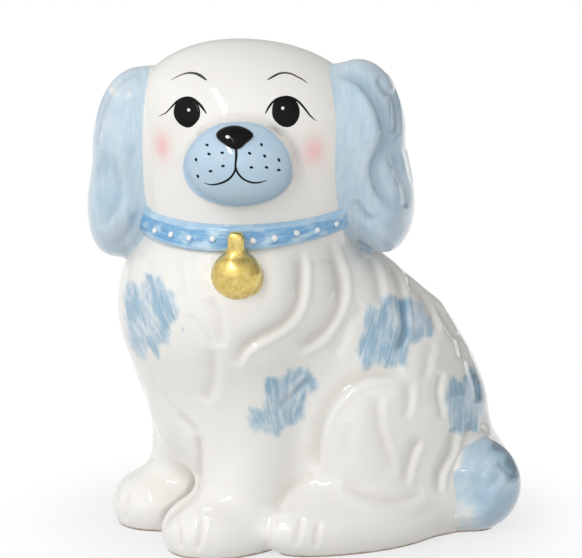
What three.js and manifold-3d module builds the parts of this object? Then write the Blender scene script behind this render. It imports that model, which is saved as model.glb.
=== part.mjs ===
// Dog money bank: a seated spaniel in glazed slip-cast ceramic, with a soft stopper in its base.
//
// Millimetres, +Z up. The face looks along -Y and the body is turned towards -X below it.
// The origin is the middle of the bank's bounding box, on the surface that it stands on.
//
// Every sculpted piece is modelled as clay: rounded masses are blended into one surface, and a mesh
// is then laid over that surface. The hollow inside is the same clay, smaller by the wall. Pieces
// that are luted on, such as the ears, are cut by the shell that carries them, less a joint gap.

import * as THREE from 'three';
import { mergeVertices } from 'three/addons/utils/BufferGeometryUtils.js';
import Module from 'manifold-3d';

const wasm = await Module();
wasm.setup();

// Ceramic
const wall = 4.5;
const floorThickness = 7.5;
const jointGap = 0.3;
const bodyTurn = 56; // degrees from the face's direction to the body's
const headForward = 20; // head axis ahead of the stopper's axis, along the body

// Body masses, measured along the body, across it and up
const chestForward = 31;
const chestHeight = 91;
const chestLength = 86.4;
const chestWidth = 90.7;
const chestRise = 90;
const shoulderRadius = 31.9;
const shoulderForward = 16.4;
const shoulderHeight = 110.3;
const loinRadius = 50.1;
const loinBack = 14.7;
const loinHeight = 60.8;
const rumpBack = 27;
const rumpHeight = 41.1;
const rumpLength = 103.4;
const rumpWidth = 101.1;
const rumpRise = 90.9;
const footprintBack = 25;
const footprintHeight = 14.3;
const footprintLength = 127.8;
const footprintWidth = 105.9;
const footprintRise = 55.2;
const footprintSquareness = 2.35; // 2 is an ellipsoid, more is squarer
const brisketForward = 38.4;
const brisketHeight = 56.4;
const brisketLength = 47.5;
const brisketWidth = 66;
const brisketRise = 67;
const haunchBack = 17.3;
const haunchSpread = 33.2;
const haunchHeight = 39.5;
const haunchLength = 64.1;
const haunchWidth = 43;
const haunchRise = 84.7;
const hindFootForward = 2;
const hindFootSpread = 45.1;
const hindFootHeight = 8.7;
const hindFootLength = 71.5;
const hindFootWidth = 29.1;
const hindFootRise = 27.1;
const hindFootTurn = -4.6;
const elbowForward = 26.7;
const elbowSpread = 12.6;
const elbowHeight = 81.2;
const elbowRadius = 20.7;
const ankleForward = 35.9;
const ankleSpread = 21.6;
const ankleHeight = 19.6;
const ankleRadius = 18.2;
const pawForward = 47.1;
const pawSpread = 23.1;
const pawHeight = 7.4;
const pawLength = 44.7;
const pawWidth = 38.4;
const pawRise = 30.1;

// Widths over which neighbouring masses run into each other
const torsoBlend = 12;
const haunchBlend = 6;
const legBlend = 8;
const jowlBlend = 12;
const muzzleBlend = 4;
const neckBlend = 8;
const earBlend = 10;
const tailBlend = 6;

// Furrows between the main locks of the coat, the same on both sides. Each runs through four places
// on the body, measured along it, across it and up, and fades at both ends.
const furrowWidth = 4.6; // from the bottom to where a third of the depth is left
const furrowFade = 0.22; // share of the length over which an end fades
const furrows = [
  { depth: 2.6, path: [[20, 39, 118], [23, 43, 101], [36, 45, 90], [48, 40, 77]] },
  { depth: 2.4, path: [[7, 37, 119], [1, 37, 103], [8, 42, 90], [22, 44, 81]] },
  { depth: 1.8, path: [[-14, 22, 114], [-18, 28, 106], [-16, 34, 99], [-15, 39, 90]] },
  { depth: 2.4, path: [[-29, 16, 107], [-31, 27, 98], [-27, 38, 87], [-19, 46, 76]] },
  { depth: 2, path: [[-38, 19, 98], [-44, 22, 92], [-44, 29, 86], [-41, 38, 80]] },
  { depth: 2, path: [[-55, 24, 81], [-58, 27, 74], [-60, 32, 64], [-61, 38, 47]] },
  { depth: 1.8, path: [[56, 37, 84], [55, 34, 75], [54, 32, 67], [55, 27, 58]] },
  { depth: 1.8, path: [[-19, 50, 69], [0, 47, 66], [12, 42, 51], [14, 41, 31]] },
  { depth: 1.6, path: [[-7, 52, 62], [-7, 53, 50], [-9, 54, 40], [-14, 54, 29]] },
  { depth: 1.8, path: [[-39, 46, 67], [-36, 50, 61], [-35, 51, 55], [-36, 52, 49]] },
  { depth: 2.2, path: [[-43, 49, 44], [-41, 50, 35], [-36, 52, 28], [-34, 53, 20]] },
  { depth: 1.8, path: [[-60, 38, 46], [-58, 42, 38], [-53, 45, 32], [-47, 49, 26]] },
  { depth: 1.6, path: [[-27, 54, 21], [-14, 56, 20], [-2, 54, 22], [6, 48, 27]] },
  { depth: 1.5, path: [[15, 40, 31], [21, 38, 26], [27, 40, 22], [33, 43, 16]] },
];

// Head masses, above the collar's middle
const collarHeight = 131.4;
const squareness = 2.15;
const skullAboveCollar = 29.6;
const skullForward = 3.6;
const skullWidth = 93.8;
const skullDepth = 73;
const skullRise = 67.4;
const skullLean = 0.06; // the crown drops this much for each millimetre to the left
const jowlAboveCollar = 4.2;
const jowlForward = 3;
const jowlShift = -1.5;
const jowlWidth = 89.3;
const jowlDepth = 75;
const jowlRise = 72;
const muzzleAboveCollar = 22.2;
const muzzleForward = 42;
const muzzleWidth = 42.5;
const muzzleDepth = 32;
const muzzleRise = 33;

// Ears
const earSpread = 42.2;
const earShift = 1.75; // both ears sit this far towards the body's forward side
const rightEarDrop = 4.2;
const earTopAboveCollar = 23.4;
const earTopForward = 4.1;
const earTopThickness = 37.4;
const earTopDepth = 47.5;
const earTopRise = 65.5;
const earLobeBelowCollar = 1.7;
const earLobeSpread = 52.7;
const earLobeBack = 5.6;
const earLobeThickness = 22.5;
const earLobeDepth = 54.6;
const earLobeRise = 36.5;

// Tail, laid against the rump on the left side
const tailBehindRump = 29;
const tailSpread = 39.8;
const tailHeight = 17.6;
const tailLength = 38.7;
const tailWidth = 41;
const tailRise = 38.2;
const tailRootBack = 7;
const tailRootSpread = 31;
const tailRootHeight = 16;
const tailRootRadius = 12;
const tailTipHeight = 36;
const tailTipLean = 6;
const tailTipRadius = 3.6;

// Nose, collar and pendant
const noseAboveMuzzle = 10.6;
const noseWidth = 14.2;
const noseRise = 9.4;
const noseDepth = 7.2;
const noseSquareness = 2.2;
const collarWidth = 9.4;
const collarRelief = 1.8;
const collarTilt = 0.18; // the band hangs this much lower for each millimetre forward
const collarLean = 0.02; // and rises this much for each millimetre to the left
const collarBlend = 12;
const collarSteps = 54;
const bandEdge = 0.4; // share of the relief at the band's edges
const bandCrown = 0.6; // share of the width that stands at the full relief
const studSize = 3;
const studRelief = 0.8;
const studPitch = 9.5;
const pendantShift = -0.7; // from the head's middle
const pendantDrop = 13.1; // below the collar's middle
const pendantWidth = 19.6;
const pendantRise = 18.8;
const pendantDepth = 15;
const bailWidth = 6.4;
const bailRise = 3.9; // above the collar's middle
const bailDepth = 6;
const bailProud = 0.9; // axis of the bail in front of the collar
const bailSquareness = 3.5;
const bailBlend = 1.5;

// Coin slot in the back of the head
const slotAboveCollar = 28.6;
const slotWidth = 38;
const slotHeight = 5.2;

// Stopper and its hole
const holeDiameter = 34;
const recessDiameter = 46;
const recessDepth = 3.2;
const stopperPlay = 0.3;
const flangeDiameter = 43;
const flangeThickness = 1.8;
const stopperWall = 2.2;
const stopperRise = 13; // barrel above the flange's top
const waistDepth = 0.9;
const beadRise = 3;
const fingerWebThickness = 3.5;
const webSeat = 0.2; // the web's overlap into the cup's top

// Grid steps of the clay meshes
const clayStep = 7;
const hollowStep = 13;
const earStep = 6.3;
const tailStep = 5;
const pendantStep = 1.9;
const roundSegments = 40;
const noseStep = 2;

const radians = THREE.MathUtils.degToRad;

// Clay: each field gives a point's rough distance from a surface, negative inside.

function ellipsoid(centre, size, { power = 2, turn = 0 } = {}) {
  const [cx, cy, cz] = centre;
  const [rx, ry, rz] = size.map((length) => length / 2);
  const [c, s] = [Math.cos(radians(turn)), Math.sin(radians(turn))];
  return (x, y, z) => {
    const [dx, dy] = [x - cx, y - cy];
    const a = Math.abs(dx * c + dy * s) / rx;
    const b = Math.abs(dy * c - dx * s) / ry;
    const d = Math.abs(z - cz) / rz;
    const k = (a ** power + b ** power + d ** power) ** (1 / power);
    const low = power - 1;
    const slope = Math.hypot(a ** low / rx, b ** low / ry, d ** low / rz) / Math.max(k, 1e-6) ** low;
    return (k - 1) / Math.max(slope, 1e-6);
  };
}

function taperedLimb(start, end, startRadius, endRadius) {
  const axis = end.map((value, i) => value - start[i]);
  const squared = axis[0] ** 2 + axis[1] ** 2 + axis[2] ** 2;
  return (x, y, z) => {
    const [dx, dy, dz] = [x - start[0], y - start[1], z - start[2]];
    const along = THREE.MathUtils.clamp((dx * axis[0] + dy * axis[1] + dz * axis[2]) / squared, 0, 1);
    const away = Math.hypot(dx - along * axis[0], dy - along * axis[1], dz - along * axis[2]);
    return away - startRadius - (endRadius - startRadius) * along;
  };
}

// Smooth union of two distances over a width of blend
function smoothMin(a, b, blend) {
  const share = Math.max(blend - Math.abs(a - b), 0) / blend;
  return Math.min(a, b) - (share * share * blend) / 4;
}

const blended = (masses) => (x, y, z) =>
  masses.reduce((sum, { mass, blend }) => smoothMin(sum, mass(x, y, z), blend), 1e3);

const paired = (mass) => (x, y, z) => mass(x, Math.abs(y), z);

// The body's own axes: x forward, y to its left, z up, from the stopper's axis
const [turnSine, turnCosine] = [Math.sin(radians(bodyTurn)), Math.cos(radians(bodyTurn))];
const stopperPlace = [headForward * turnSine, headForward * turnCosine];

function onBody(mass) {
  return (x, y, z) => {
    const [dx, dy] = [x - stopperPlace[0], y - stopperPlace[1]];
    return mass(-dx * turnSine - dy * turnCosine, dx * turnCosine - dy * turnSine, z);
  };
}

function offBody(forward, left, up) {
  const [sx, sy] = stopperPlace;
  return [sx - forward * turnSine + left * turnCosine, sy - forward * turnCosine - left * turnSine, up];
}

const leaning = (mass, slope) => (x, y, z) => mass(x, y, z + slope * x);

const torso = [
  { mass: ellipsoid([chestForward, 0, chestHeight], [chestLength, chestWidth, chestRise]), blend: 1 },
  {
    mass: taperedLimb(
      [shoulderForward, 0, shoulderHeight],
      [-loinBack, 0, loinHeight],
      shoulderRadius,
      loinRadius,
    ),
    blend: torsoBlend,
  },
  {
    mass: ellipsoid([-rumpBack, 0, rumpHeight], [rumpLength, rumpWidth, rumpRise]),
    blend: torsoBlend,
  },
  {
    mass: ellipsoid(
      [-footprintBack, 0, footprintHeight],
      [footprintLength, footprintWidth, footprintRise],
      { power: footprintSquareness },
    ),
    blend: torsoBlend,
  },
  {
    mass: ellipsoid([brisketForward, 0, brisketHeight], [brisketLength, brisketWidth, brisketRise]),
    blend: torsoBlend,
  },
];

const limbs = [
  {
    mass: ellipsoid([-haunchBack, haunchSpread, haunchHeight], [haunchLength, haunchWidth, haunchRise]),
    blend: haunchBlend,
  },
  {
    mass: ellipsoid(
      [hindFootForward, hindFootSpread, hindFootHeight],
      [hindFootLength, hindFootWidth, hindFootRise],
      { turn: hindFootTurn },
    ),
    blend: legBlend,
  },
  {
    mass: taperedLimb(
      [elbowForward, elbowSpread, elbowHeight],
      [ankleForward, ankleSpread, ankleHeight],
      elbowRadius,
      ankleRadius,
    ),
    blend: legBlend,
  },
  {
    mass: ellipsoid([pawForward, pawSpread, pawHeight], [pawLength, pawWidth, pawRise]),
    blend: haunchBlend,
  },
];

const pairedLimbs = limbs.map(({ mass, blend }) => ({ mass: paired(mass), blend }));
const bodyClay = onBody(blended([...torso, ...pairedLimbs]));

const skullHeight = collarHeight + skullAboveCollar;
const muzzleHeight = collarHeight + muzzleAboveCollar;
const skull = ellipsoid([0, -skullForward, skullHeight], [skullWidth, skullDepth, skullRise], {
  power: squareness,
});
const headClay = blended([
  { mass: leaning(skull, skullLean), blend: 1 },
  {
    mass: ellipsoid(
      [jowlShift, -jowlForward, collarHeight + jowlAboveCollar],
      [jowlWidth, jowlDepth, jowlRise],
    ),
    blend: jowlBlend,
  },
  {
    mass: ellipsoid([0, -muzzleForward, muzzleHeight], [muzzleWidth, muzzleDepth, muzzleRise]),
    blend: muzzleBlend,
  },
]);

const dogClay = (x, y, z) => smoothMin(bodyClay(x, y, z), headClay(x, y, z), neckBlend);

const earClay = blended([
  {
    mass: ellipsoid(
      [earSpread, -earTopForward, collarHeight + earTopAboveCollar],
      [earTopThickness, earTopDepth, earTopRise],
    ),
    blend: 1,
  },
  {
    mass: ellipsoid(
      [earLobeSpread, earLobeBack, collarHeight - earLobeBelowCollar],
      [earLobeThickness, earLobeDepth, earLobeRise],
    ),
    blend: earBlend,
  },
]);

function earField(side) {
  const drop = side < 0 ? rightEarDrop : 0;
  return (x, y, z) => earClay(side * (x + earShift), y, z + drop);
}

const tailBack = rumpBack + tailBehindRump;
const tailRoot = [-tailBack - tailRootBack, tailRootSpread, tailRootHeight];
const tailTip = [tailRoot[0] + tailTipLean, tailRootSpread, tailTipHeight];
const tailClay = onBody(
  blended([
    { mass: ellipsoid([-tailBack, tailSpread, tailHeight], [tailLength, tailWidth, tailRise]), blend: 1 },
    { mass: taperedLimb(tailRoot, tailTip, tailRootRadius, tailTipRadius), blend: tailBlend },
  ]),
);

// Distance from a start at which a ray leaves the clay
function reach(field, start, direction, farthest = 200) {
  let [inside, outside] = [0, farthest];
  for (let halving = 0; halving < 40; halving += 1) {
    const middle = (inside + outside) / 2;
    const [x, y, z] = start.map((value, i) => value + direction[i] * middle);
    if (field(x, y, z) < 0) inside = middle;
    else outside = middle;
  }
  return (inside + outside) / 2;
}

// Meshes

// Draws a point onto the level surface of a field
function settle(field, point, level = 0, passes = 3) {
  const nudge = 0.05;
  for (let pass = 0; pass < passes; pass += 1) {
    const [x, y, z] = point;
    const value = field(x, y, z) - level;
    const slope = [
      (field(x + nudge, y, z) - field(x - nudge, y, z)) / (2 * nudge),
      (field(x, y + nudge, z) - field(x, y - nudge, z)) / (2 * nudge),
      (field(x, y, z + nudge) - field(x, y, z - nudge)) / (2 * nudge),
    ];
    const steep = Math.max(slope[0] ** 2 + slope[1] ** 2 + slope[2] ** 2, 0.05);
    slope.forEach((part, axis) => {
      point[axis] -= (value * part) / steep;
    });
  }
  return point;
}

// Where two sheets of the surface meet across one face of a grid cell, the inner corner nearest to
// the surface is put outside it, so that every edge of the mesh has just two faces
function partSheets(values, count, stride, eachNode) {
  const sliver = 1e-3;
  let changed = true;
  while (changed) {
    changed = false;
    eachNode((index, node) => {
      for (let axis = 0; axis < 3; axis += 1) {
        const [second, third] = [(axis + 1) % 3, (axis + 2) % 3];
        if (index[second] >= count[second] - 1 || index[third] >= count[third] - 1) continue;
        const [u, v] = [stride[second], stride[third]];
        const ring = [node, node + u, node + u + v, node + v];
        const [a, b, c, d] = ring.map((corner) => values[corner] < 0);
        if (a !== c || b !== d || a === b) continue;
        const [one, other] = ring.filter((corner) => values[corner] < 0);
        values[values[one] > values[other] ? one : other] = sliver;
        changed = true;
      }
    });
  }
}

// Lays a closed mesh over the clay: one vertex in each grid cell that the surface crosses
function skin(field, low, high, step) {
  const count = low.map((start, axis) => Math.ceil((high[axis] - start) / step) + 1);
  const stride = [1, count[0], count[0] * count[1]];
  const values = new Float64Array(count[0] * count[1] * count[2]);
  const eachNode = (visit) => {
    for (let k = 0; k < count[2]; k += 1) {
      for (let j = 0; j < count[1]; j += 1) {
        for (let i = 0; i < count[0]; i += 1) visit([i, j, k], i + j * stride[1] + k * stride[2]);
      }
    }
  };
  const place = (index) => index.map((value, axis) => low[axis] + value * step);
  eachNode((index, node) => {
    values[node] = field(...place(index));
  });
  partSheets(values, count, stride, eachNode);

  const points = [];
  const cellPoint = new Map();
  const corners = [0, 1, 2, 3, 4, 5, 6, 7].map((bits) => [bits & 1, (bits >> 1) & 1, bits >> 2]);
  const edges = [];
  corners.forEach((corner, from) => {
    [1, 2, 4].filter((bit) => !(from & bit)).forEach((bit) => edges.push([from, from | bit]));
  });
  eachNode((index, node) => {
    if (index.some((value, axis) => value >= count[axis] - 1)) return;
    const sample = corners.map(([i, j, k]) => values[node + i + j * stride[1] + k * stride[2]]);
    const crossed = edges.filter(([from, to]) => sample[from] < 0 !== sample[to] < 0);
    if (crossed.length === 0) return;
    const sum = [0, 0, 0];
    crossed.forEach(([from, to]) => {
      const share = sample[from] / (sample[from] - sample[to]);
      sum.forEach((_, axis) => {
        sum[axis] += corners[from][axis] + share * (corners[to][axis] - corners[from][axis]);
      });
    });
    const start = place(index);
    cellPoint.set(node, points.length);
    points.push(sum.map((value, axis) => start[axis] + (value / crossed.length) * step));
  });

  const quads = [];
  eachNode((index, node) => {
    for (let axis = 0; axis < 3; axis += 1) {
      const [second, third] = [(axis + 1) % 3, (axis + 2) % 3];
      if (index[axis] >= count[axis] - 1 || index[second] === 0 || index[third] === 0) continue;
      const [here, next] = [values[node] < 0, values[node + stride[axis]] < 0];
      if (here === next) continue;
      const [u, v] = [stride[second], stride[third]];
      const ring = [node - u - v, node - v, node, node - u];
      const quad = ring.map((cell) => cellPoint.get(cell));
      quads.push(here ? quad : quad.reverse());
    }
  });

  const neighbours = points.map(() => new Set());
  quads.forEach((quad) => {
    quad.forEach((point, i) => {
      neighbours[point].add(quad[(i + 1) % 4]);
      neighbours[quad[(i + 1) % 4]].add(point);
    });
  });
  points.forEach((point) => settle(field, point));
  const smoothings = 4;
  for (let round = 0; round < smoothings; round += 1) {
    const moved = points.map((point, i) =>
      point.map((value, axis) => {
        const around = [...neighbours[i]];
        const mean = around.reduce((sum, other) => sum + points[other][axis], 0) / around.length;
        return value + 0.6 * (mean - value);
      }),
    );
    moved.forEach((point, i) => {
      points[i] = settle(field, point);
    });
  }

  const far = (a, b) => Math.hypot(...points[a].map((value, axis) => value - points[b][axis]));
  const faces = quads.flatMap(([a, b, c, d]) =>
    far(a, c) < far(b, d) ? [[a, b, c], [a, c, d]] : [[a, b, d], [b, c, d]],
  );
  return { points, faces };
}

// The same mesh with its wanted edges halved, and the faces on both their sides with them
function refined({ points, faces }, wanted) {
  const fine = [...points];
  const halves = new Map();
  const half = (from, to) => {
    const key = Math.min(from, to) * points.length + Math.max(from, to);
    if (!halves.has(key)) {
      const middle = points[from].map((value, axis) => (value + points[to][axis]) / 2);
      halves.set(key, wanted(middle) ? fine.push(middle) - 1 : null);
    }
    return halves.get(key);
  };
  const split = faces.flatMap((face) => {
    const middles = face.map((from, i) => half(from, face[(i + 1) % 3]));
    const count = middles.filter((middle) => middle !== null).length;
    if (count === 0) return [face];
    const first = count === 2 ? (middles.indexOf(null) + 1) % 3 : middles.findIndex((m) => m !== null);
    const [a, b, c] = [0, 1, 2].map((i) => face[(first + i) % 3]);
    const [ab, bc, ca] = [0, 1, 2].map((i) => middles[(first + i) % 3]);
    if (count === 1) return [[a, ab, c], [ab, b, c]];
    if (count === 2) return [[ab, b, bc], [a, ab, bc], [a, bc, c]];
    return [[a, ab, ca], [ab, b, bc], [ca, bc, c], [ab, bc, ca]];
  });
  return { points: fine, faces: split };
}

// The same mesh with its surface moved out by a distance
const grown = (mesh, field, distance) => ({
  points: mesh.points.map((point) => settle(field, [...point], distance)),
  faces: mesh.faces,
});

// Solids

function solidOfMesh({ points, faces }) {
  return new wasm.Manifold(
    new wasm.Mesh({
      numProp: 3,
      vertProperties: new Float32Array(points.flat()),
      triVerts: new Uint32Array(faces.flat()),
    }),
  );
}

function solid(geometry, position = [0, 0, 0], rotation = [0, 0, 0]) {
  const placed = geometry.clone();
  const turned = new THREE.Matrix4().makeRotationFromEuler(new THREE.Euler(...rotation));
  placed.applyMatrix4(turned.setPosition(...position));
  ['normal', 'uv'].forEach((name) => placed.deleteAttribute(name));
  const merged = mergeVertices(placed, 1e-4);
  return new wasm.Manifold(
    new wasm.Mesh({
      numProp: 3,
      vertProperties: new Float32Array(merged.attributes.position.array),
      triVerts: new Uint32Array(merged.index.array),
    }),
  );
}

// Edges shorter than this are closed up when a solid becomes a mesh
const shortestEdge = 0.01;

function geometryOf(manifold) {
  const { vertProperties, triVerts } = manifold.setTolerance(shortestEdge).getMesh();
  const geometry = new THREE.BufferGeometry();
  geometry.setAttribute('position', new THREE.BufferAttribute(new Float32Array(vertProperties), 3));
  geometry.setIndex(new THREE.BufferAttribute(new Uint32Array(triVerts), 1));
  geometry.computeVertexNormals();
  return geometry;
}

// A large block above or below the collar's tilted plane, or above the standing surface
const blockSize = 600;
const collarNormal = new THREE.Vector3(-collarLean, -collarTilt, 1).normalize();

function collarBlock(side, offset) {
  const block = new THREE.BoxGeometry(blockSize, blockSize, blockSize);
  block.translate(0, 0, side * (blockSize / 2 + offset));
  const upward = new THREE.Vector3(0, 0, 1);
  block.applyQuaternion(new THREE.Quaternion().setFromUnitVectors(upward, collarNormal));
  return solid(block, [0, 0, collarHeight]);
}

const aboveJoint = () => collarBlock(1, jointGap / 2);
const belowJoint = () => collarBlock(-1, jointGap / 2);
const aboveGround = () =>
  solid(new THREE.BoxGeometry(blockSize, blockSize, blockSize), [0, 0, blockSize / 2]);

// Height of the collar's plane
const collarPlane = (x, y) => collarHeight + collarTilt * y + collarLean * x;

// Furrows as lines on the clay, on both sides of the body
const furrowSteps = 8;
const furrowLines = furrows.flatMap(({ depth, path }) =>
  [-1, 1].map((side) => {
    const places = path.map(([forward, across, up]) => offBody(forward, side * across, up));
    const curve = new THREE.CatmullRomCurve3(places.map((place) => new THREE.Vector3(...place)));
    const spaced = curve.getSpacedPoints(furrowSteps);
    const points = spaced.map((point) => new THREE.Vector3(...settle(dogClay, point.toArray())));
    const box = new THREE.Box3().setFromPoints(points).expandByScalar(3 * furrowWidth);
    return { depth, points, box };
  }),
);

// The nearest place on a furrow's line, how far off it is, and the share of the line before it
function alongLine(points, place) {
  const nearest = { away: Infinity };
  const segment = new THREE.Line3();
  for (let i = 0; i + 1 < points.length; i += 1) {
    segment.set(points[i], points[i + 1]);
    const within = segment.closestPointToPointParameter(place, true);
    const foot = segment.at(within, new THREE.Vector3());
    const away = foot.distanceTo(place);
    const share = (i + within) / (points.length - 1);
    if (away < nearest.away) Object.assign(nearest, { away, foot, share });
  }
  return nearest;
}

// Clay with the furrows combed into it
function combedClay(x, y, z) {
  const clay = dogClay(x, y, z);
  const place = new THREE.Vector3(x, y, z);
  const sinks = furrowLines
    .filter(({ box }) => box.containsPoint(place))
    .map(({ depth, points }) => {
      const { away, share } = alongLine(points, place);
      const sideways = Math.max(away ** 2 - clay ** 2, 0) / furrowWidth ** 2;
      const fade = THREE.MathUtils.smoothstep(Math.min(share, 1 - share), 0, furrowFade);
      return depth * fade * Math.exp(-sideways);
    });
  return clay + Math.max(0, ...sinks);
}

// The furrow that a point lies nearest to
function nearestFurrow(point) {
  const place = new THREE.Vector3(...point);
  return furrowLines
    .filter(({ box }) => box.containsPoint(place))
    .map(({ points }) => alongLine(points, place))
    .reduce((best, found) => (found.away < best.away ? found : best), { away: Infinity });
}

// The same mesh with its points beside a furrow drawn onto its line, so that edges run along it
function ploughed({ points, faces }) {
  const closest = 0.22 * clayStep;
  const moved = points.map((point) => [...point]);
  const neighbours = points.map(() => new Set());
  faces.forEach(([a, b, c]) => {
    [[a, b], [b, c], [c, a]].forEach(([from, to]) => {
      neighbours[from].add(to);
      neighbours[to].add(from);
    });
  });
  const drawn = new Set();
  const gap = (foot, other) => foot.distanceTo(new THREE.Vector3(...moved[other]));
  points
    .map((point, i) => ({ i, ...nearestFurrow(point) }))
    .filter(({ away }) => away < closest)
    .sort((a, b) => a.away - b.away)
    .forEach(({ i, foot }) => {
      if ([...neighbours[i]].some((other) => drawn.has(other) && gap(foot, other) < closest)) return;
      moved[i] = foot.toArray();
      drawn.add(i);
    });
  return { points: moved, faces };
}

// Shells: one clay skin, cut flat at the collar and at the standing surface
const sunk = 12;
const bodyReach = 130;
const headTop = skullHeight + skullRise;
const sunkInto = (clay) => (x, y, z) => Math.max(clay(x, y, z), -sunk - z);
const smoothSkin = skin(
  sunkInto(dogClay),
  [-bodyReach, -bodyReach, -sunk - 2 * clayStep],
  [bodyReach, bodyReach, headTop],
  clayStep,
);
const nearFurrow = (point) => nearestFurrow(point).away < clayStep / 2;
const dogSkin = grown(ploughed(refined(smoothSkin, nearFurrow)), sunkInto(combedClay), 0);
const dogSolid = solidOfMesh(dogSkin);
const dogWithClearance = solidOfMesh(grown(dogSkin, sunkInto(combedClay), jointGap));

const hollow = (x, y, z) => Math.max(dogClay(x, y, z) + wall, floorThickness - z);
const chamber = solidOfMesh(
  skin(
    hollow,
    [-bodyReach, -bodyReach, floorThickness - 2 * hollowStep],
    [bodyReach, bodyReach, headTop],
    hollowStep,
  ),
);

// Coin slot: a flat mouth with round ends through the back wall of the head
function coinSlot() {
  const centre = [0, 0, collarHeight + slotAboveCollar];
  const backWall = reach(dogClay, centre, [0, 1, 0]);
  const straight = (slotWidth - slotHeight) / 2;
  const radius = slotHeight / 2;
  const outline = new THREE.Shape();
  outline.moveTo(-straight, -radius);
  outline.lineTo(straight, -radius);
  outline.absarc(straight, 0, radius, -Math.PI / 2, Math.PI / 2, false);
  outline.lineTo(-straight, radius);
  outline.absarc(-straight, 0, radius, Math.PI / 2, (3 * Math.PI) / 2, false);
  const length = 4 * wall;
  const cutter = new THREE.ExtrudeGeometry(outline, {
    depth: length,
    bevelEnabled: false,
    curveSegments: 6,
  });
  return solid(cutter, [0, backWall + length / 2, centre[2]], [Math.PI / 2, 0, 0]);
}

// Stopper hole, with a shallow recess that keeps the flange off the surface below
function stopperHole() {
  const [hole, recess] = [holeDiameter / 2, recessDiameter / 2];
  const profile = [
    [0, -1],
    [recess, -1],
    [recess, recessDepth],
    [hole, recessDepth],
    [hole, floorThickness + wall],
    [0, floorThickness + wall],
  ];
  const cutter = lathe(profile);
  return solid(cutter, [...stopperPlace, 0]);
}

// A turned solid about +Z from a profile of radius and height
function lathe(profile) {
  const points = profile.map(([radius, height]) => new THREE.Vector2(radius, height));
  return new THREE.LatheGeometry(points, roundSegments).rotateX(Math.PI / 2);
}

const bodyShell = dogSolid
  .intersect(belowJoint())
  .intersect(aboveGround())
  .subtract(chamber)
  .subtract(stopperHole());
const headShell = dogSolid.intersect(aboveJoint()).subtract(chamber).subtract(coinSlot());

// Collar: a band that follows the neck all round, with small studs on it
const neckBand = (x, y, z) => smoothMin(bodyClay(x, y, z), headClay(x, y, z), collarBlend);

function collarPoint(angle, rise, relief) {
  const direction = [Math.sin(angle), -Math.cos(angle), 0];
  const level = (x, y) => neckBand(x, y, collarPlane(x, y) + rise) - relief;
  const radius = reach(level, [0, 0, 0], direction, 90);
  const [x, y] = [direction[0] * radius, direction[1] * radius];
  return [x, y, collarPlane(x, y) + rise];
}

function collarBand(clearance) {
  const half = collarWidth / 2 + clearance;
  const relief = collarRelief + clearance;
  const sunkIn = -wall;
  const section = [
    [-half, sunkIn],
    [-half, relief * bandEdge],
    [-half * bandCrown, relief],
    [half * bandCrown, relief],
    [half, relief * bandEdge],
    [half, sunkIn],
  ];
  const points = [];
  const faces = [];
  for (let step = 0; step < collarSteps; step += 1) {
    const angle = (step / collarSteps) * 2 * Math.PI;
    section.forEach(([rise, depth]) => points.push(collarPoint(angle, rise, depth)));
  }
  const total = points.length;
  for (let step = 0; step < collarSteps; step += 1) {
    section.forEach((_, i) => {
      const a = step * section.length + i;
      const b = step * section.length + ((i + 1) % section.length);
      const c = (b + section.length) % total;
      const d = (a + section.length) % total;
      faces.push([a, c, b], [a, d, c]);
    });
  }
  return solidOfMesh({ points, faces });
}

function collarStuds() {
  const arc = [];
  let length = 0;
  const fine = 720;
  let last = collarPoint(0, 0, collarRelief);
  for (let step = 0; step <= fine; step += 1) {
    const angle = (step / fine) * 2 * Math.PI;
    const point = collarPoint(angle, 0, collarRelief);
    length += Math.hypot(...point.map((value, axis) => value - last[axis]));
    arc.push({ angle, length });
    last = point;
  }
  const studs = Math.floor((length - bailWidth - 2 * studSize) / studPitch);
  const pitch = (length - bailWidth - 2 * studSize) / studs;
  const dome = new THREE.OctahedronGeometry(studSize / 2, 1);
  dome.scale(1, (studRelief * 2) / studSize, 1);
  const placed = [];
  for (let stud = 0; stud <= studs; stud += 1) {
    const along = bailWidth / 2 + studSize + stud * pitch;
    const { angle } = arc.find((entry) => entry.length >= along);
    const point = collarPoint(angle, 0, collarRelief);
    const underEar = [-1, 1].some((side) => earField(side)(...point) < studSize);
    if (!underEar) placed.push(solid(dome, point, [0, 0, angle]));
  }
  return placed;
}

const collarRing = collarBand(0).subtract(dogWithClearance);
const collar = collarStuds().reduce((band, stud) => band.add(stud), collarRing);
const collarWithClearance = collarBand(jointGap);

// Ears, tail, nose and pendant, each cut by what carries it
const carriers = [dogWithClearance, collarWithClearance];
const luted = (blank, cutters) => cutters.reduce((piece, cutter) => piece.subtract(cutter), blank);

function ear(side) {
  const field = earField(side);
  const reachOut = earSpread + earTopThickness + earLobeThickness;
  const blank = skin(
    field,
    [side > 0 ? 0 : -reachOut, -earLobeDepth, collarHeight - earLobeRise],
    [side > 0 ? reachOut : 0, earLobeDepth, collarHeight + earTopAboveCollar + earTopRise],
    earStep,
  );
  return luted(solidOfMesh(blank), carriers);
}

function tail() {
  const centre = [
    stopperPlace[0] + tailBack * turnSine + tailSpread * turnCosine,
    stopperPlace[1] + tailBack * turnCosine - tailSpread * turnSine,
  ];
  const reachOut = tailLength / 2 + tailWidth;
  const blank = skin(
    tailClay,
    [centre[0] - reachOut, centre[1] - reachOut, -tailRise],
    [centre[0] + reachOut, centre[1] + reachOut, tailTipHeight + tailRise],
    tailStep,
  );
  return luted(solidOfMesh(blank).intersect(aboveGround()), [dogWithClearance]);
}

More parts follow.
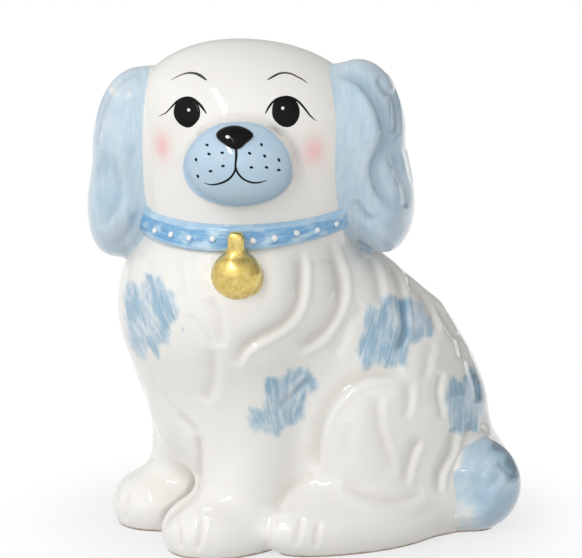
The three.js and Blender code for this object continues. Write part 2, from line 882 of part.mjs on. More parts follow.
function nose() {
  const height = muzzleHeight + noseAboveMuzzle;
  const front = reach(headClay, [0, 0, height], [0, -1, 0]);
  const size = [noseWidth, noseDepth, noseRise];
  const field = ellipsoid([0, -front, height], size, { power: noseSquareness });
  const low = [-noseWidth, -front - noseDepth, height - noseRise];
  const high = [noseWidth, -front + noseDepth, height + noseRise];
  return luted(solidOfMesh(skin(field, low, high, noseStep)), [dogWithClearance]);
}

function pendant() {
  const collarFront = -collarPoint(0, 0, collarRelief)[1];
  const collarMiddle = collarPlane(pendantShift, -collarFront);
  const ballHeight = collarMiddle - pendantDrop;
  const chestFront = reach(dogClay, [pendantShift, 0, ballHeight], [0, -1, 0]);
  const bailTop = collarMiddle + bailRise;
  const front = Math.max(chestFront, collarFront);
  const bailLength = bailTop - ballHeight - pendantRise / 3;
  const field = blended([
    {
      mass: ellipsoid([pendantShift, -front, ballHeight], [pendantWidth, pendantDepth, pendantRise]),
      blend: 1,
    },
    {
      mass: ellipsoid(
        [pendantShift, -front - bailProud, bailTop - bailLength / 2],
        [bailWidth, bailDepth, bailLength],
        { power: bailSquareness },
      ),
      blend: bailBlend,
    },
  ]);
  const low = [pendantShift - pendantWidth, -front - pendantDepth, ballHeight - pendantRise];
  const high = [pendantShift + pendantWidth, -front + pendantDepth, bailTop + bailWidth];
  return luted(solidOfMesh(skin(field, low, high, pendantStep)), carriers);
}

// Stopper: a soft cup with a flange, a waist, a holding bead and a web to pull it by
function stopper() {
  const barrel = holeDiameter / 2 - stopperPlay;
  const waist = barrel - waistDepth;
  const bore = barrel - waistDepth - stopperWall;
  const flange = flangeDiameter / 2;
  const top = flangeThickness + stopperRise;
  const profile = [
    [0, top - stopperWall],
    [bore, top - stopperWall],
    [bore, 0],
    [flange, 0],
    [flange, flangeThickness],
    [waist, flangeThickness],
    [waist, top - beadRise],
    [barrel, top - beadRise * 0.6],
    [barrel, top - beadRise * 0.3],
    [waist, top],
    [0, top],
  ];
  const web = new THREE.BoxGeometry(2 * bore + stopperWall, fingerWebThickness, top - stopperWall);
  return solid(lathe(profile)).add(solid(web, [0, 0, (top - stopperWall) / 2 + webSeat]));
}

// Materials
const whiteGlaze = new THREE.MeshStandardMaterial({ color: 0xecebe6, roughness: 0.12, metalness: 0 });
const paleBlueGlaze = new THREE.MeshStandardMaterial({ color: 0xb4cde1, roughness: 0.14, metalness: 0 });
const blueGlaze = new THREE.MeshStandardMaterial({ color: 0x6aa7d8, roughness: 0.14, metalness: 0 });
const blackGlaze = new THREE.MeshStandardMaterial({ color: 0x16161a, roughness: 0.1, metalness: 0 });
const goldLeaf = new THREE.MeshStandardMaterial({ color: 0xc8ae55, roughness: 0.3, metalness: 1 });
const softStopper = new THREE.MeshStandardMaterial({ color: 0xdcdcd6, roughness: 0.55, metalness: 0 });

// Assembly
const bank = new THREE.Group();

function place(name, manifold, material, position = [0, 0, 0]) {
  const mesh = new THREE.Mesh(geometryOf(manifold), material);
  mesh.name = name;
  mesh.position.set(...position);
  bank.add(mesh);
}

place('body_shell', bodyShell, whiteGlaze);
place('head_shell', headShell, whiteGlaze);
place('ear_left', ear(1), paleBlueGlaze);
place('ear_right', ear(-1), paleBlueGlaze);
place('tail', tail(), paleBlueGlaze);
place('nose', nose(), blackGlaze);
place('collar', collar, blueGlaze);
place('pendant', pendant(), goldLeaf);
place('stopper', stopper(), softStopper, [...stopperPlace, recessDepth - stopperPlay - flangeThickness]);

// The origin goes to the middle of the bounding box, on the standing surface
const box = new THREE.Box3().setFromObject(bank);
const boxCentre = box.getCenter(new THREE.Vector3());
bank.position.set(-boxCentre.x, -boxCentre.y, -box.min.z);
bank.updateMatrixWorld(true);

export default bank;
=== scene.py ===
# Glazed ceramic dog money bank: a seated spaniel with brushed blue patches, a dotted collar, a gilded
# pendant and a soft stopper in its base.
#
# The sculpted pieces are modelled in clay, as in the part: rounded masses blended into one surface.
# Lengths in the clay sections are millimetres, from the point on the ground below the head's middle.
# Creases and brush strokes are laid on that surface by where they show in the photograph.

import math

import bpy
import numpy as np
import openvdb
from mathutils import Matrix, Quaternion, Vector


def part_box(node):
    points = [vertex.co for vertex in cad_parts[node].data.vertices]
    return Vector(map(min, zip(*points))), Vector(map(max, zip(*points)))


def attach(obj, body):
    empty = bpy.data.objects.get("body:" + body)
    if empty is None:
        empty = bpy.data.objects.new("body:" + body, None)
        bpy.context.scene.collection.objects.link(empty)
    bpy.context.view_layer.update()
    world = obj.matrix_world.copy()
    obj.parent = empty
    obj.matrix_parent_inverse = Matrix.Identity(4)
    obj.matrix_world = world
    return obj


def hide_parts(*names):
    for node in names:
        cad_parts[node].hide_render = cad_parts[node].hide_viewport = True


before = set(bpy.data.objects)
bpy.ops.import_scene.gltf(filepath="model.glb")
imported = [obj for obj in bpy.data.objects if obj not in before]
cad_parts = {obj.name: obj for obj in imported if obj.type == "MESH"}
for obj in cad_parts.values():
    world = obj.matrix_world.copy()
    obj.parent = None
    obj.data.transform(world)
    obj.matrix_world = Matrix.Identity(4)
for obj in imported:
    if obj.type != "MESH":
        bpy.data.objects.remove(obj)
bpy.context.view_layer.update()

MM = 0.001
VOXEL = 0.8

# Clay masses, as in the part

BODY_TURN = math.radians(56)
HEAD_FORWARD = 20
TURN_SINE, TURN_COSINE = math.sin(BODY_TURN), math.cos(BODY_TURN)
STOPPER_PLACE = np.array([HEAD_FORWARD * TURN_SINE, HEAD_FORWARD * TURN_COSINE])
COLLAR_HEIGHT = 131.4
COLLAR_TILT = 0.18
COLLAR_LEAN = 0.02
FOOT_SQUARENESS = 2.35
HEAD_SQUARENESS = 2.15
EAR_SQUARENESS = 2.1
HEAD_LEAN = 0.06
WALL = 4.5
FLOOR = 7.5
EAR_SHIFT = 1.75
RIGHT_EAR_DROP = 4.2

stopper_low, stopper_high = (np.array(corner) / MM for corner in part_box("stopper"))
ROW_SHIFT = np.array([*((stopper_low + stopper_high) / 2)[:2] - STOPPER_PLACE, 0])


def ellipsoid(centre, size, power=2.0, turn=0.0):
    c, s = math.cos(math.radians(turn)), math.sin(math.radians(turn))
    rx, ry, rz = (length / 2 for length in size)

    def field(x, y, z):
        dx, dy = x - centre[0], y - centre[1]
        a = np.abs(dx * c + dy * s) / rx
        b = np.abs(dy * c - dx * s) / ry
        d = np.abs(z - centre[2]) / rz
        low = power - 1
        k = np.maximum((a**power + b**power + d**power) ** (1 / power), 1e-6)
        slope = np.sqrt((a**low / rx) ** 2 + (b**low / ry) ** 2 + (d**low / rz) ** 2) / k**low
        return (k - 1) / np.maximum(slope, 1e-6)

    return field


def limb(start, end, start_radius, end_radius):
    axis = [b - a for a, b in zip(start, end)]
    squared = sum(part * part for part in axis)

    def field(x, y, z):
        dx, dy, dz = x - start[0], y - start[1], z - start[2]
        t = np.clip((dx * axis[0] + dy * axis[1] + dz * axis[2]) / squared, 0, 1)
        away = np.sqrt((dx - t * axis[0]) ** 2 + (dy - t * axis[1]) ** 2 + (dz - t * axis[2]) ** 2)
        return away - start_radius - (end_radius - start_radius) * t

    return field


def smooth_min(a, b, blend):
    share = np.maximum(blend - np.abs(a - b), 0) / blend
    return np.minimum(a, b) - share * share * (blend / 4)


def blended(*masses):
    def field(x, y, z):
        total = masses[0][0](x, y, z)
        for mass, blend in masses[1:]:
            total = smooth_min(total, mass(x, y, z), blend)
        return total

    return field


def paired(mass):
    return lambda x, y, z: mass(x, np.abs(y), z)


def to_body(x, y):
    dx, dy = x - STOPPER_PLACE[0], y - STOPPER_PLACE[1]
    return -dx * TURN_SINE - dy * TURN_COSINE, dx * TURN_COSINE - dy * TURN_SINE


def from_body(f, l):
    x = -f * TURN_SINE + l * TURN_COSINE + STOPPER_PLACE[0]
    y = -f * TURN_COSINE - l * TURN_SINE + STOPPER_PLACE[1]
    return x, y


def on_body(mass):
    return lambda x, y, z: mass(*to_body(x, y), z)


def leaning(mass, slope):
    return lambda x, y, z: mass(x, y, z + slope * x)


body_clay = on_body(
    blended(
        (ellipsoid((31, 0, 91), (86.4, 90.7, 90)), 1),
        (limb((16.4, 0, 110.3), (-14.7, 0, 60.8), 31.9, 50.1), 14),
        (ellipsoid((-27, 0, 41.1), (103.4, 101.1, 90.9)), 12),
        (ellipsoid((-25, 0, 14.3), (127.8, 105.9, 55.2), FOOT_SQUARENESS), 12),
        (ellipsoid((38.4, 0, 56.4), (47.5, 66, 67)), 12),
        (paired(ellipsoid((-17.3, 33.2, 39.5), (64.1, 43, 84.7))), 6),
        (paired(ellipsoid((2, 45.1, 8.7), (71.5, 29.1, 27.1), turn=-4.6)), 8),
        (paired(limb((26.7, 12.6, 81.2), (35.9, 21.6, 19.6), 20.7, 18.2)), 8),
        (paired(ellipsoid((47.1, 23.1, 7.4), (44.7, 38.4, 30.1), EAR_SQUARENESS)), 6),
    )
)
muzzle_clay = ellipsoid((0.3, -42, 153.6), (42.5, 32, 33))
head_clay = blended(
    (leaning(ellipsoid((0, -3.6, 161), (93.8, 73, 67.4), HEAD_SQUARENESS), HEAD_LEAN), 1),
    (ellipsoid((-1.5, -3, 135.6), (89.3, 75, 72)), 12),
    (muzzle_clay, 4),
)
ear_clay = blended(
    (ellipsoid((42.2, -4.1, 154.8), (37.4, 47.5, 65.5), EAR_SQUARENESS), 1),
    (ellipsoid((52.7, 5.6, 129.7), (22.5, 54.6, 36.5), EAR_SQUARENESS), 10),
)
fuller_ear_clay = blended((ear_clay, 1), (ellipsoid((45.2, -14, 134.5), (13, 27, 24)), 6))
tail_clay = on_body(
    blended(
        (ellipsoid((-56, 39.8, 17.6), (38.7, 41, 38.2)), 1),
        (limb((-63, 31, 16), (-57, 31, 36), 12, 3.6), 6),
    )
)


def dog_clay(x, y, z):
    return smooth_min(body_clay(x, y, z), head_clay(x, y, z), 8)


def ear_field(side):
    drop = RIGHT_EAR_DROP if side < 0 else 0
    clay = fuller_ear_clay if side < 0 else ear_clay
    return lambda x, y, z: clay(side * (x + EAR_SHIFT), y, z + drop)


# The photograph's camera: where it stands, and where a point of the clay shows in its frame

PHOTO_WIDTH, PHOTO_HEIGHT = 582, 558
PHOTO_AZIMUTH, PHOTO_ELEVATION = math.radians(7), math.radians(11.5)
CAMERA_DISTANCE = 1500
PHOTO_TARGET = np.array([12, 20, 96])
MM_PER_PIXEL = 0.397
# Distances from the camera between which the clay lies, and the share of the gap that a search steps
NEAREST, FARTHEST, STEP_SHARE = 1380.0, 1640.0, 0.8
BACK = np.array(
    [
        math.sin(PHOTO_AZIMUTH) * math.cos(PHOTO_ELEVATION),
        -math.cos(PHOTO_AZIMUTH) * math.cos(PHOTO_ELEVATION),
        math.sin(PHOTO_ELEVATION),
    ]
)
RIGHT = np.array([math.cos(PHOTO_AZIMUTH), math.sin(PHOTO_AZIMUTH), 0])
UP = np.cross(BACK, RIGHT)
CAMERA_PLACE = PHOTO_TARGET + BACK * CAMERA_DISTANCE


def photo_place(points):
    """Pixel coordinates at which points of the clay show."""
    offset = points - PHOTO_TARGET
    scale = CAMERA_DISTANCE / (CAMERA_DISTANCE - offset @ BACK) / MM_PER_PIXEL
    across, up = (offset @ RIGHT) * scale, (offset @ UP) * scale
    return np.stack([PHOTO_WIDTH / 2 + across, PHOTO_HEIGHT / 2 - up], -1)


def under_pixels(field, pixels):
    """Points of the clay that show at pixels."""
    pixels = np.asarray(pixels, float)
    across = (pixels[:, 0] - PHOTO_WIDTH / 2) * MM_PER_PIXEL
    up = (PHOTO_HEIGHT / 2 - pixels[:, 1]) * MM_PER_PIXEL
    aim = across[:, None] * RIGHT + up[:, None] * UP - BACK * CAMERA_DISTANCE
    aim /= np.linalg.norm(aim, axis=1)[:, None]
    reach = np.full(len(pixels), NEAREST)
    for _ in range(120):
        points = CAMERA_PLACE + aim * reach[:, None]
        reach = np.minimum(reach + STEP_SHARE * field(*points.T), FARTHEST)
    return CAMERA_PLACE + aim * reach[:, None]


def outward(field, points):
    """Unit normals of the clay at points."""
    nudge = 0.1
    slopes = []
    for axis in range(3):
        step = np.zeros(3)
        step[axis] = nudge
        slopes.append(field(*(points + step).T) - field(*(points - step).T))
    normals = np.stack(slopes, -1)
    return normals / np.linalg.norm(normals, axis=1)[:, None]


def settle(field, points, level=0.0):
    """Points drawn along their normals onto a level surface of the clay."""
    for _ in range(3):
        points = points - outward(field, points) * (field(*points.T) - level)[:, None]
    return points


def smooth_path(points, spacing=2.0):
    """A Catmull-Rom curve through points, at even steps of about the given length."""
    points = np.asarray(points, float)
    padded = np.vstack([2 * points[0] - points[1], points, 2 * points[-1] - points[-2]])
    fine = []
    for a, b, c, d in zip(padded, padded[1:], padded[2:], padded[3:]):
        t = np.linspace(0, 1, 24, endpoint=False)[:, None]
        curve = 2 * b + (c - a) * t + (2 * a - 5 * b + 4 * c - d) * t**2 + (3 * b - a - 3 * c + d) * t**3
        fine.append(curve / 2)
    fine = np.vstack([*fine, points[-1:]])
    lengths = np.concatenate([[0], np.cumsum(np.linalg.norm(np.diff(fine, axis=0), axis=1))])
    count = max(int(lengths[-1] / spacing) + 1, 3)
    even = np.linspace(0, lengths[-1], count)
    return np.stack([np.interp(even, lengths, fine[:, i]) for i in range(fine.shape[1])], -1)


def closed_path(points, fine=5):
    """A closed Catmull-Rom curve through points."""
    b = np.asarray(points, float)
    a, c, d = np.roll(b, 1, axis=0), np.roll(b, -1, axis=0), np.roll(b, -2, axis=0)
    t = (np.arange(fine) / fine)[None, :, None]
    a, b, c, d = (part[:, None, :] for part in (a, b, c, d))
    curve = 2 * b + (c - a) * t + (2 * a - 5 * b + 4 * c - d) * t**2 + (3 * b - a - 3 * c + d) * t**3
    return curve.reshape(-1, 2) / 2


# Meshes


def clay_mesh(field, low, high, voxel=VOXEL):
    """Points and quads of a field's surface, in millimetres."""
    count = [int(math.ceil((b - a) / voxel)) + 1 for a, b in zip(low, high)]
    axes = [(a + voxel * np.arange(n)).astype(np.float32) for a, n in zip(low, count)]
    values = np.empty(count, np.float32)
    slab = 24
    for start in range(0, count[0], slab):
        x = axes[0][start : start + slab, None, None]
        values[start : start + slab] = field(x, axes[1][None, :, None], axes[2][None, None, :])
    grid = openvdb.FloatGrid(3.0)
    grid.copyFromArray(np.clip(values / voxel, -3, 3))
    points, quads = grid.convertToQuads(isovalue=0.0)
    return np.asarray(points, float) * voxel + np.asarray(low, float), np.asarray(quads)


def vertex_normals(points, quads):
    a, b, c, d = (points[quads[:, i]] for i in range(4))
    faces = np.cross(c - a, d - b)
    normals = np.zeros_like(points)
    for i in range(4):
        for axis in range(3):
            normals[:, axis] += np.bincount(quads[:, i], faces[:, axis], len(points))
    return normals / np.maximum(np.linalg.norm(normals, axis=1)[:, None], 1e-9)


def in_scene(name, data):
    made = bpy.data.objects.new(name, data)
    bpy.context.scene.collection.objects.link(made)
    return made


def ring_quads(here, there, count, closed=True):
    """Quads between two rings of points, given the number of the first point of each."""
    steps = range(count if closed else count - 1)
    return [(here + s, here + (s + 1) % count, there + (s + 1) % count, there + s) for s in steps]


def flat_foot(points):
    """Points with those beside the ground laid flat on it."""
    points[:, 2] = np.where(np.abs(points[:, 2]) < 0.6 * VOXEL, 0, points[:, 2])
    return points


def piece(name, points, faces, material, slot, replaced=(), values=None):
    """A named mesh in the row frame, with the values that its material reads."""
    mesh = bpy.data.meshes.new(name)
    mesh.from_pydata(((points + ROW_SHIFT) * MM).tolist(), [], [list(map(int, face)) for face in faces])
    for key, value in (values or {}).items():
        kind = "FLOAT" if value.ndim == 1 else "FLOAT_VECTOR"
        layer = mesh.attributes.new(key, kind, "POINT")
        layer.data.foreach_set("value" if value.ndim == 1 else "vector", value.astype(np.float32).ravel())
    mesh.polygons.foreach_set("use_smooth", [True] * len(mesh.polygons))
    mesh.update()
    mesh.materials.append(material)
    made = in_scene(name, mesh)
    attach(made, "bank")
    if replaced:
        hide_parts(*replaced)


# Creases between the locks of the coat, each a pixel path from top to bottom, with the half widths in
# millimetres of its slope on the path's left and on its right, and its depth. The right side of a
# crease is steep and stands a little proud.

CHEST_CREASES = [
    ([(299, 250), (302, 262), (303, 275), (302, 290), (299, 305), (293, 316), (284, 325), (273, 332),
      (262, 338), (252, 344), (245, 350), (240, 358), (237, 366)], 3.6, 1.3, 1.7),
    ([(328, 243), (334, 255), (340, 270), (343, 285), (342, 300), (338, 313), (331, 325), (323, 335),
      (312, 343), (299, 349)], 3.8, 1.3, 1.7),
    ([(362, 246), (369, 254), (375, 266), (379, 280), (381, 294), (382, 306)], 2.8, 1.2, 1.2),
    ([(388, 256), (395, 268), (401, 282), (404, 296), (406, 312), (407, 327), (404, 340),
      (398, 352)], 2.2, 0.8, 1.8),
    ([(408, 278), (415, 285), (423, 295), (430, 307), (435, 319), (438, 331)], 2.2, 1.0, 1.2),
    ([(424, 290), (434, 302), (443, 314), (450, 326), (455, 338)], 1.8, 1.0, 0.9),
    ([(441, 308), (449, 320), (456, 332), (461, 345), (463, 360)], 1.8, 1.4, 0.9),
    ([(457, 332), (463, 343), (468, 356), (472, 370), (476, 386), (478, 402)], 1.8, 1.4, 0.9),
    ([(365, 306), (350, 320), (345, 330), (340, 345), (332, 354)], 3.6, 2.2, 0.8),
    ([(190, 315), (195, 320), (203, 332), (210, 342), (213, 352)], 1.6, 0.9, 0.6),
    ([(181, 250), (180, 275), (182, 302)], 3.0, 1.4, 0.7),
    ([(211, 298), (218, 315), (221, 330), (222, 347)], 4.0, 1.8, 0.9),
    ([(213, 350), (213, 370), (212, 385), (205, 402)], 4.6, 2.2, 1.1),
    ([(256, 250), (262, 262), (265, 280), (262, 298)], 3.6, 2.6, 0.6),
    ([(152, 262), (146, 276), (142, 292)], 3.0, 2.2, 0.6),
    ([(152, 380), (162, 396), (173, 409), (184, 421), (200, 434)], 2.2, 1.4, 0.5),
    ([(180, 414), (189, 424), (195, 437), (196, 452)], 1.8, 1.2, 0.5),
    ([(197, 436), (197.5, 455), (197, 470), (195.5, 482), (190, 495), (183, 501.5), (175, 508),
      (168, 515), (163, 526)], 1.4, 2.4, 1.5),
    ([(278, 407), (286, 402), (295, 394), (304, 386), (315, 377)], 1.1, 1.3, 0.9),
]
HAUNCH_CREASES = [
    ([(404, 372), (388, 373), (370, 375), (352, 383), (340, 393), (329, 406), (322, 420), (318, 437),
      (316, 455), (317, 470)], 5.4, 1.6, 1.5),
    ([(409, 382), (410, 395), (409, 405), (406, 418)], 2.8, 1.4, 0.9),
    ([(378, 396), (378, 415), (380, 430), (383, 440), (386, 450), (392, 465), (395, 474)], 3.4, 1.6, 1.0),
    ([(349, 424), (349, 445), (351, 460)], 3.0, 2.0, 0.5),
    ([(421, 440), (415, 449), (411, 460), (408, 470), (407, 484)], 2.6, 1.2, 1.3),
    ([(434, 344), (430, 355), (428, 365), (426, 378)], 2.4, 1.4, 0.8),
    ([(443, 372), (440, 382), (439, 394), (441, 405), (443, 418)], 2.0, 1.0, 1.3),
    ([(455, 428), (454, 440), (452, 452), (446, 463), (441, 474), (440, 484), (439, 492)], 2.4, 1.0, 1.6),
    ([(470, 420), (471, 436), (469, 450), (464, 460), (458, 472)], 2.0, 1.0, 1.4),
    ([(484, 412), (485, 426), (483, 440), (479, 452), (473, 464)], 1.7, 1.0, 1.2),
    ([(424, 492), (410, 497), (400, 500), (385, 499), (370, 496), (355, 490), (343, 483)], 3.6, 2.0, 1.1),
    ([(312, 474), (300, 481), (290, 489), (282, 499), (277, 512)], 4.0, 1.6, 1.1),
]
TOE_CREASES = [
    ([(175, 516), (178, 526), (179, 537), (180, 548)], 1.1, 1.1, 1.0),
    ([(205, 518), (202, 528), (200, 538), (197, 551)], 1.2, 1.0, 1.2),
    ([(302, 518), (299, 530), (296, 546)], 1.2, 1.1, 1.0),
    ([(320, 521), (317, 534), (315, 549)], 1.2, 1.1, 0.8),
    ([(128, 492), (125, 503), (124, 512), (126, 522)], 1.1, 1.1, 0.8),
    ([(271, 520), (269, 532), (268, 548)], 1.6, 1.4, 0.6),
]
BODY_CREASES = CHEST_CREASES + HAUNCH_CREASES + TOE_CREASES
EAR_CREASES = [
    ([(143, 72), (128, 77), (115, 87), (107, 98), (102, 112), (99, 128), (97, 145)], 1.3, 1.2, 0.9),
    ([(109, 152), (112, 160), (117, 172), (119.5, 185), (119, 198), (114, 210), (108, 220),
      (103, 230)], 3.4, 1.6, 0.9),
    ([(101, 152), (103, 164), (103, 175), (100, 188), (97, 202)], 2.6, 1.6, 0.6),
    ([(137, 146), (131, 160), (129, 172), (132, 184), (138, 194), (144, 204)], 1.6, 2.4, 0.6),
    ([(124, 100), (121, 118), (121, 138)], 3.0, 2.4, 0.5),
    ([(137, 214), (132, 228), (122, 240), (110, 247)], 2.4, 1.4, 0.9),
    ([(337, 74), (347, 77), (357, 81), (367, 90), (375, 102), (381, 116), (384, 130), (382, 144),
      (377, 156), (373, 166), (373, 176), (377, 188), (384, 200), (392, 212)], 1.5, 4.2, 1.7),
    ([(378, 78), (383, 86), (389, 96)], 1.2, 1.2, 1.2),
    ([(391, 90), (395, 100), (397, 112), (398, 124), (397, 134)], 1.4, 1.1, 1.4),
    ([(395, 152), (397, 164), (401, 177), (406, 188), (408, 198), (408, 208)], 2.2, 1.1, 1.6),
    ([(403, 148), (407, 158), (410, 170), (412, 182)], 1.1, 1.1, 1.0),
    ([(357, 200), (361, 209), (366, 216), (372, 221)], 2.2, 1.1, 1.2),
    ([(350, 100), (358, 112), (364, 124), (367, 138)], 3.0, 2.6, 0.5),
    ([(352, 150), (352, 168), (355, 184)], 3.0, 2.4, 0.5),
    ([(374, 214), (386, 226), (402, 232)], 2.4, 2.4, 0.6),
]
TAIL_CREASES = [
    ([(498, 463), (508, 470), (515, 480)], 1.6, 1.4, 1.0),
    ([(502, 474), (494, 482), (486, 490)], 2.2, 1.6, 0.8),
    ([(486, 462), (480, 476), (476, 492), (480, 508)], 2.6, 1.8, 0.7),
]
# How far a crease is felt, in half widths; the share of its length in which each end fades; and the lip
# beside it: how far away and how wide in half widths, and its height on the right and on the left
CREASE_REACH = 3.2
CREASE_FADE = 0.2
LIP_AWAY, LIP_WIDTH = 2.1, 0.9
LIP_RIGHT, LIP_LEFT = 0.3, 0.1


def beside_line(pixels, a, b):
    """How far pixels lie along a line, from 0 to 1, how far from it, and which side of it, by sign."""
    span = b - a
    offset = pixels - a
    t = np.clip((offset @ span) / (span @ span), 0, 1)
    gap = np.linalg.norm(offset - t[:, None] * span, axis=1)
    return t, gap, offset[:, 0] * span[1] - offset[:, 1] * span[0]


def crease_depth(points, creases):
    """How far each point sinks for the creases near it, in millimetres."""
    pixels = photo_place(points)
    sunk = np.zeros(len(points))
    for path, left, right, depth in creases:
        curve = smooth_path(path)
        reach = CREASE_REACH * max(left, right) / MM_PER_PIXEL
        near = np.all((pixels > curve.min(0) - reach) & (pixels < curve.max(0) + reach), axis=1)
        if not near.any():
            continue
        here = pixels[near]
        best = np.full(len(here), 1e9)
        along = np.zeros(len(here))
        side = np.zeros(len(here))
        for i, (a, b) in enumerate(zip(curve, curve[1:])):
            t, gap, turned = beside_line(here, a, b)
            closer = gap < best
            best = np.where(closer, gap, best)
            along = np.where(closer, (i + t) / (len(curve) - 1), along)
            side = np.where(closer, turned, side)
        away = best * MM_PER_PIXEL / np.where(side > 0, right, left)
        fade = np.clip(np.minimum(along, 1 - along) / CREASE_FADE, 0, 1)
        fade = np.sqrt(fade * (2 - fade))
        lip = np.where(side > 0, LIP_RIGHT, LIP_LEFT) * np.exp(-(((away - LIP_AWAY) / LIP_WIDTH) ** 2))
        sunk[near] += (np.exp(-(away**2)) - lip) * fade * depth
    return sunk


# Cosines of a surface's angle to the camera between which what is laid on it fades in
FACING_NONE, FACING_FULL = 0.02, 0.42


def towards(normals):
    """1 where a surface faces the photograph's camera, fading to 0 at its outline."""
    facing = np.clip((normals @ BACK - FACING_NONE) / (FACING_FULL - FACING_NONE), 0, 1)
    return facing * facing * (3 - 2 * facing)


def other_side(points, normals):
    """The same places mirrored across the body's middle."""
    f, l = to_body(points[:, 0], points[:, 1])
    x, y = from_body(f, -l)
    nf = -normals[:, 0] * TURN_SINE - normals[:, 1] * TURN_COSINE
    nl = normals[:, 0] * TURN_COSINE - normals[:, 1] * TURN_SINE
    across, along = -nf * TURN_SINE - nl * TURN_COSINE, -nf * TURN_COSINE + nl * TURN_SINE
    mirrored = np.stack([across, along, normals[:, 2]], -1)
    return np.stack([x, y, points[:, 2]], -1), mirrored


def both_sides(points, normals, creases, mirror):
    """Crease depths on the side that the photograph shows, and mirrored on the side that it hides."""
    shown = towards(normals)
    there, there_normals = mirror(points, normals)
    hidden = (1 - shown) * towards(there_normals)
    return shown * crease_depth(points, creases) + hidden * crease_depth(there, creases)


def evened(values, quads):
    """Values of a mesh's points, each averaged with its neighbours."""
    count = len(values)
    total, weight = 4 * values, np.full(count, 4.0)
    for i in range(4):
        here, there = quads[:, i], quads[:, (i + 1) % 4]
        for a, b in ((here, there), (there, here)):
            total += np.bincount(a, values[b], count)
            weight += np.bincount(a, minlength=count)
    return total / weight


# Paint


def outline_distance(pixels, outline):
    """Signed distance in pixels to a closed outline, negative inside."""
    outline = np.asarray(outline, float)
    best = np.full(len(pixels), 1e9)
    inside = np.zeros(len(pixels), bool)
    for a, b in zip(outline, np.roll(outline, -1, axis=0)):
        span = b - a
        best = np.minimum(best, beside_line(pixels, a, b)[1])
        crosses = (a[1] > pixels[:, 1]) != (b[1] > pixels[:, 1])
        level = span[1] if span[1] else 1e-9
        inside ^= crosses & (pixels[:, 0] < a[0] + span[0] * (pixels[:, 1] - a[1]) / level)
    return np.where(inside, -best, best)


# Blue patches: a pixel outline, how the brush leans at places in it (in degrees from straight down
# towards the right), and its dabs: half length and half width in pixels, number, opacity, and how
# much paint lies evenly under them
PATCHES = [
    (
        [(124, 282), (131, 277), (137, 283), (143, 272), (150, 271), (155, 274), (162, 271), (166, 287),
         (178, 290), (180, 300), (181, 318), (170, 330), (171, 351), (161, 346), (160, 369), (151, 349),
         (148, 363), (137, 358), (128, 345), (124, 325), (121, 296)],
        [(126, 300, 22), (150, 290, 14), (172, 305, 16), (150, 350, 26)],
        (17, 2.7, 84, 0.36, 0.5),
    ),
    (
        [(178, 318), (184, 324), (187, 334), (182, 333)],
        [(182, 327, 22)],
        (6, 1.8, 3, 0.4, 0.1),
    ),
    (
        [(263, 378), (268, 374), (276, 376), (284, 374), (286, 367), (296, 365), (303, 366), (309, 364),
         (313, 372), (318, 380), (322, 388), (318, 394), (308, 396), (306, 408), (308, 420), (300, 424),
         (292, 428), (283, 432), (279, 440), (270, 438), (262, 434), (254, 437), (248, 428), (245, 418),
         (248, 406), (256, 404), (262, 408), (262, 398), (262, 388)],
        [(270, 385, 12), (305, 375, -22), (300, 412, -40), (255, 422, 38), (285, 425, 10)],
        (8, 2.8, 120, 0.25, 0.68),
    ),
    (
        [(365, 303), (370, 300), (379, 306), (380, 294), (390, 292), (400, 295), (407, 294), (415, 298),
         (423, 300), (430, 308), (435, 318), (437, 328), (432, 338), (422, 342), (412, 346), (410, 355),
         (411, 370), (400, 367), (390, 369), (378, 366), (370, 370), (363, 372), (358, 362), (355, 350),
         (357, 340), (361, 332), (362, 320)],
        [(363, 340, -20), (385, 305, -8), (415, 305, 22), (430, 325, 28), (388, 350, -12),
         (412, 345, -34)],
        (10, 2.8, 150, 0.25, 0.7),
    ),
    (
        [(449, 375), (455, 372), (460, 378), (466, 370), (472, 360), (478, 370), (484, 385), (487, 400),
         (488, 415), (485, 430), (480, 436), (470, 434), (465, 439), (458, 436), (450, 432), (446, 420),
         (443, 405), (443, 395)],
        [(450, 400, -6), (470, 380, 12), (480, 415, 4)],
        (11, 2.8, 100, 0.25, 0.7),
    ),
]
# Patches on the side that the photograph hides: forward, across and up, with half length and height, all
# in millimetres, how the brush leans on them, their dabs, and how deep across the body they reach
HIDDEN_PATCHES = [
    (30, -44, 92, 17, 15),
    (-30, -46, 66, 19, 21),
    (2, -40, 98, 14, 12),
    (-66, -12, 52, 12, 17),
    (10, -52, 34, 13, 10),
]
HIDDEN_LEANS = [(-20, 0, 14), (20, 0, -16)]
HIDDEN_DABS = (11, 3.0, 100, 0.28, 0.55)
HIDDEN_REACH = 22
# Pixels round a patch within which its paint is worked out
PATCH_MARGIN = 12
# How much dabs differ: their turn in radians, and the least and most of length, width and opacity
DAB_TURN, DAB_LENGTHS, DAB_SHARES = 0.13, (0.6, 1.15), (0.7, 1.3)
DAB_OPACITIES = (0.6, 1.3)
# How far, in pixels, a dab may end inside or beyond the outline, and over how many an end fades
DAB_BEYOND, DAB_END = (-1.5, 2.5), 3
# A dab that ends too far out is shortened by this share at a time, down to this half length in pixels
DAB_SHRINK, DAB_SHORTEST = 0.85, 2
# How much narrower a dab's end is than its start, and the most paint that one dab lays
DAB_TAPER, DAB_MOST = 0.25, 0.9
# Places tried for each dab that a patch has
DAB_TRIES = 8
# Pixels from the outline over which the even wash under the dabs comes in, and its share at the outline
WASH_EDGE, WASH_START = 7, 0.2


def leans_at(places, leans):
    """The brush's direction at places, in radians, between those that are given."""
    total, weight = np.zeros(len(places)), np.zeros(len(places))
    for x, y, lean in leans:
        share = 1 / ((places[:, 0] - x) ** 2 + (places[:, 1] - y) ** 2 + 60)
        total += share * math.radians(lean)
        weight += share
    return total / weight


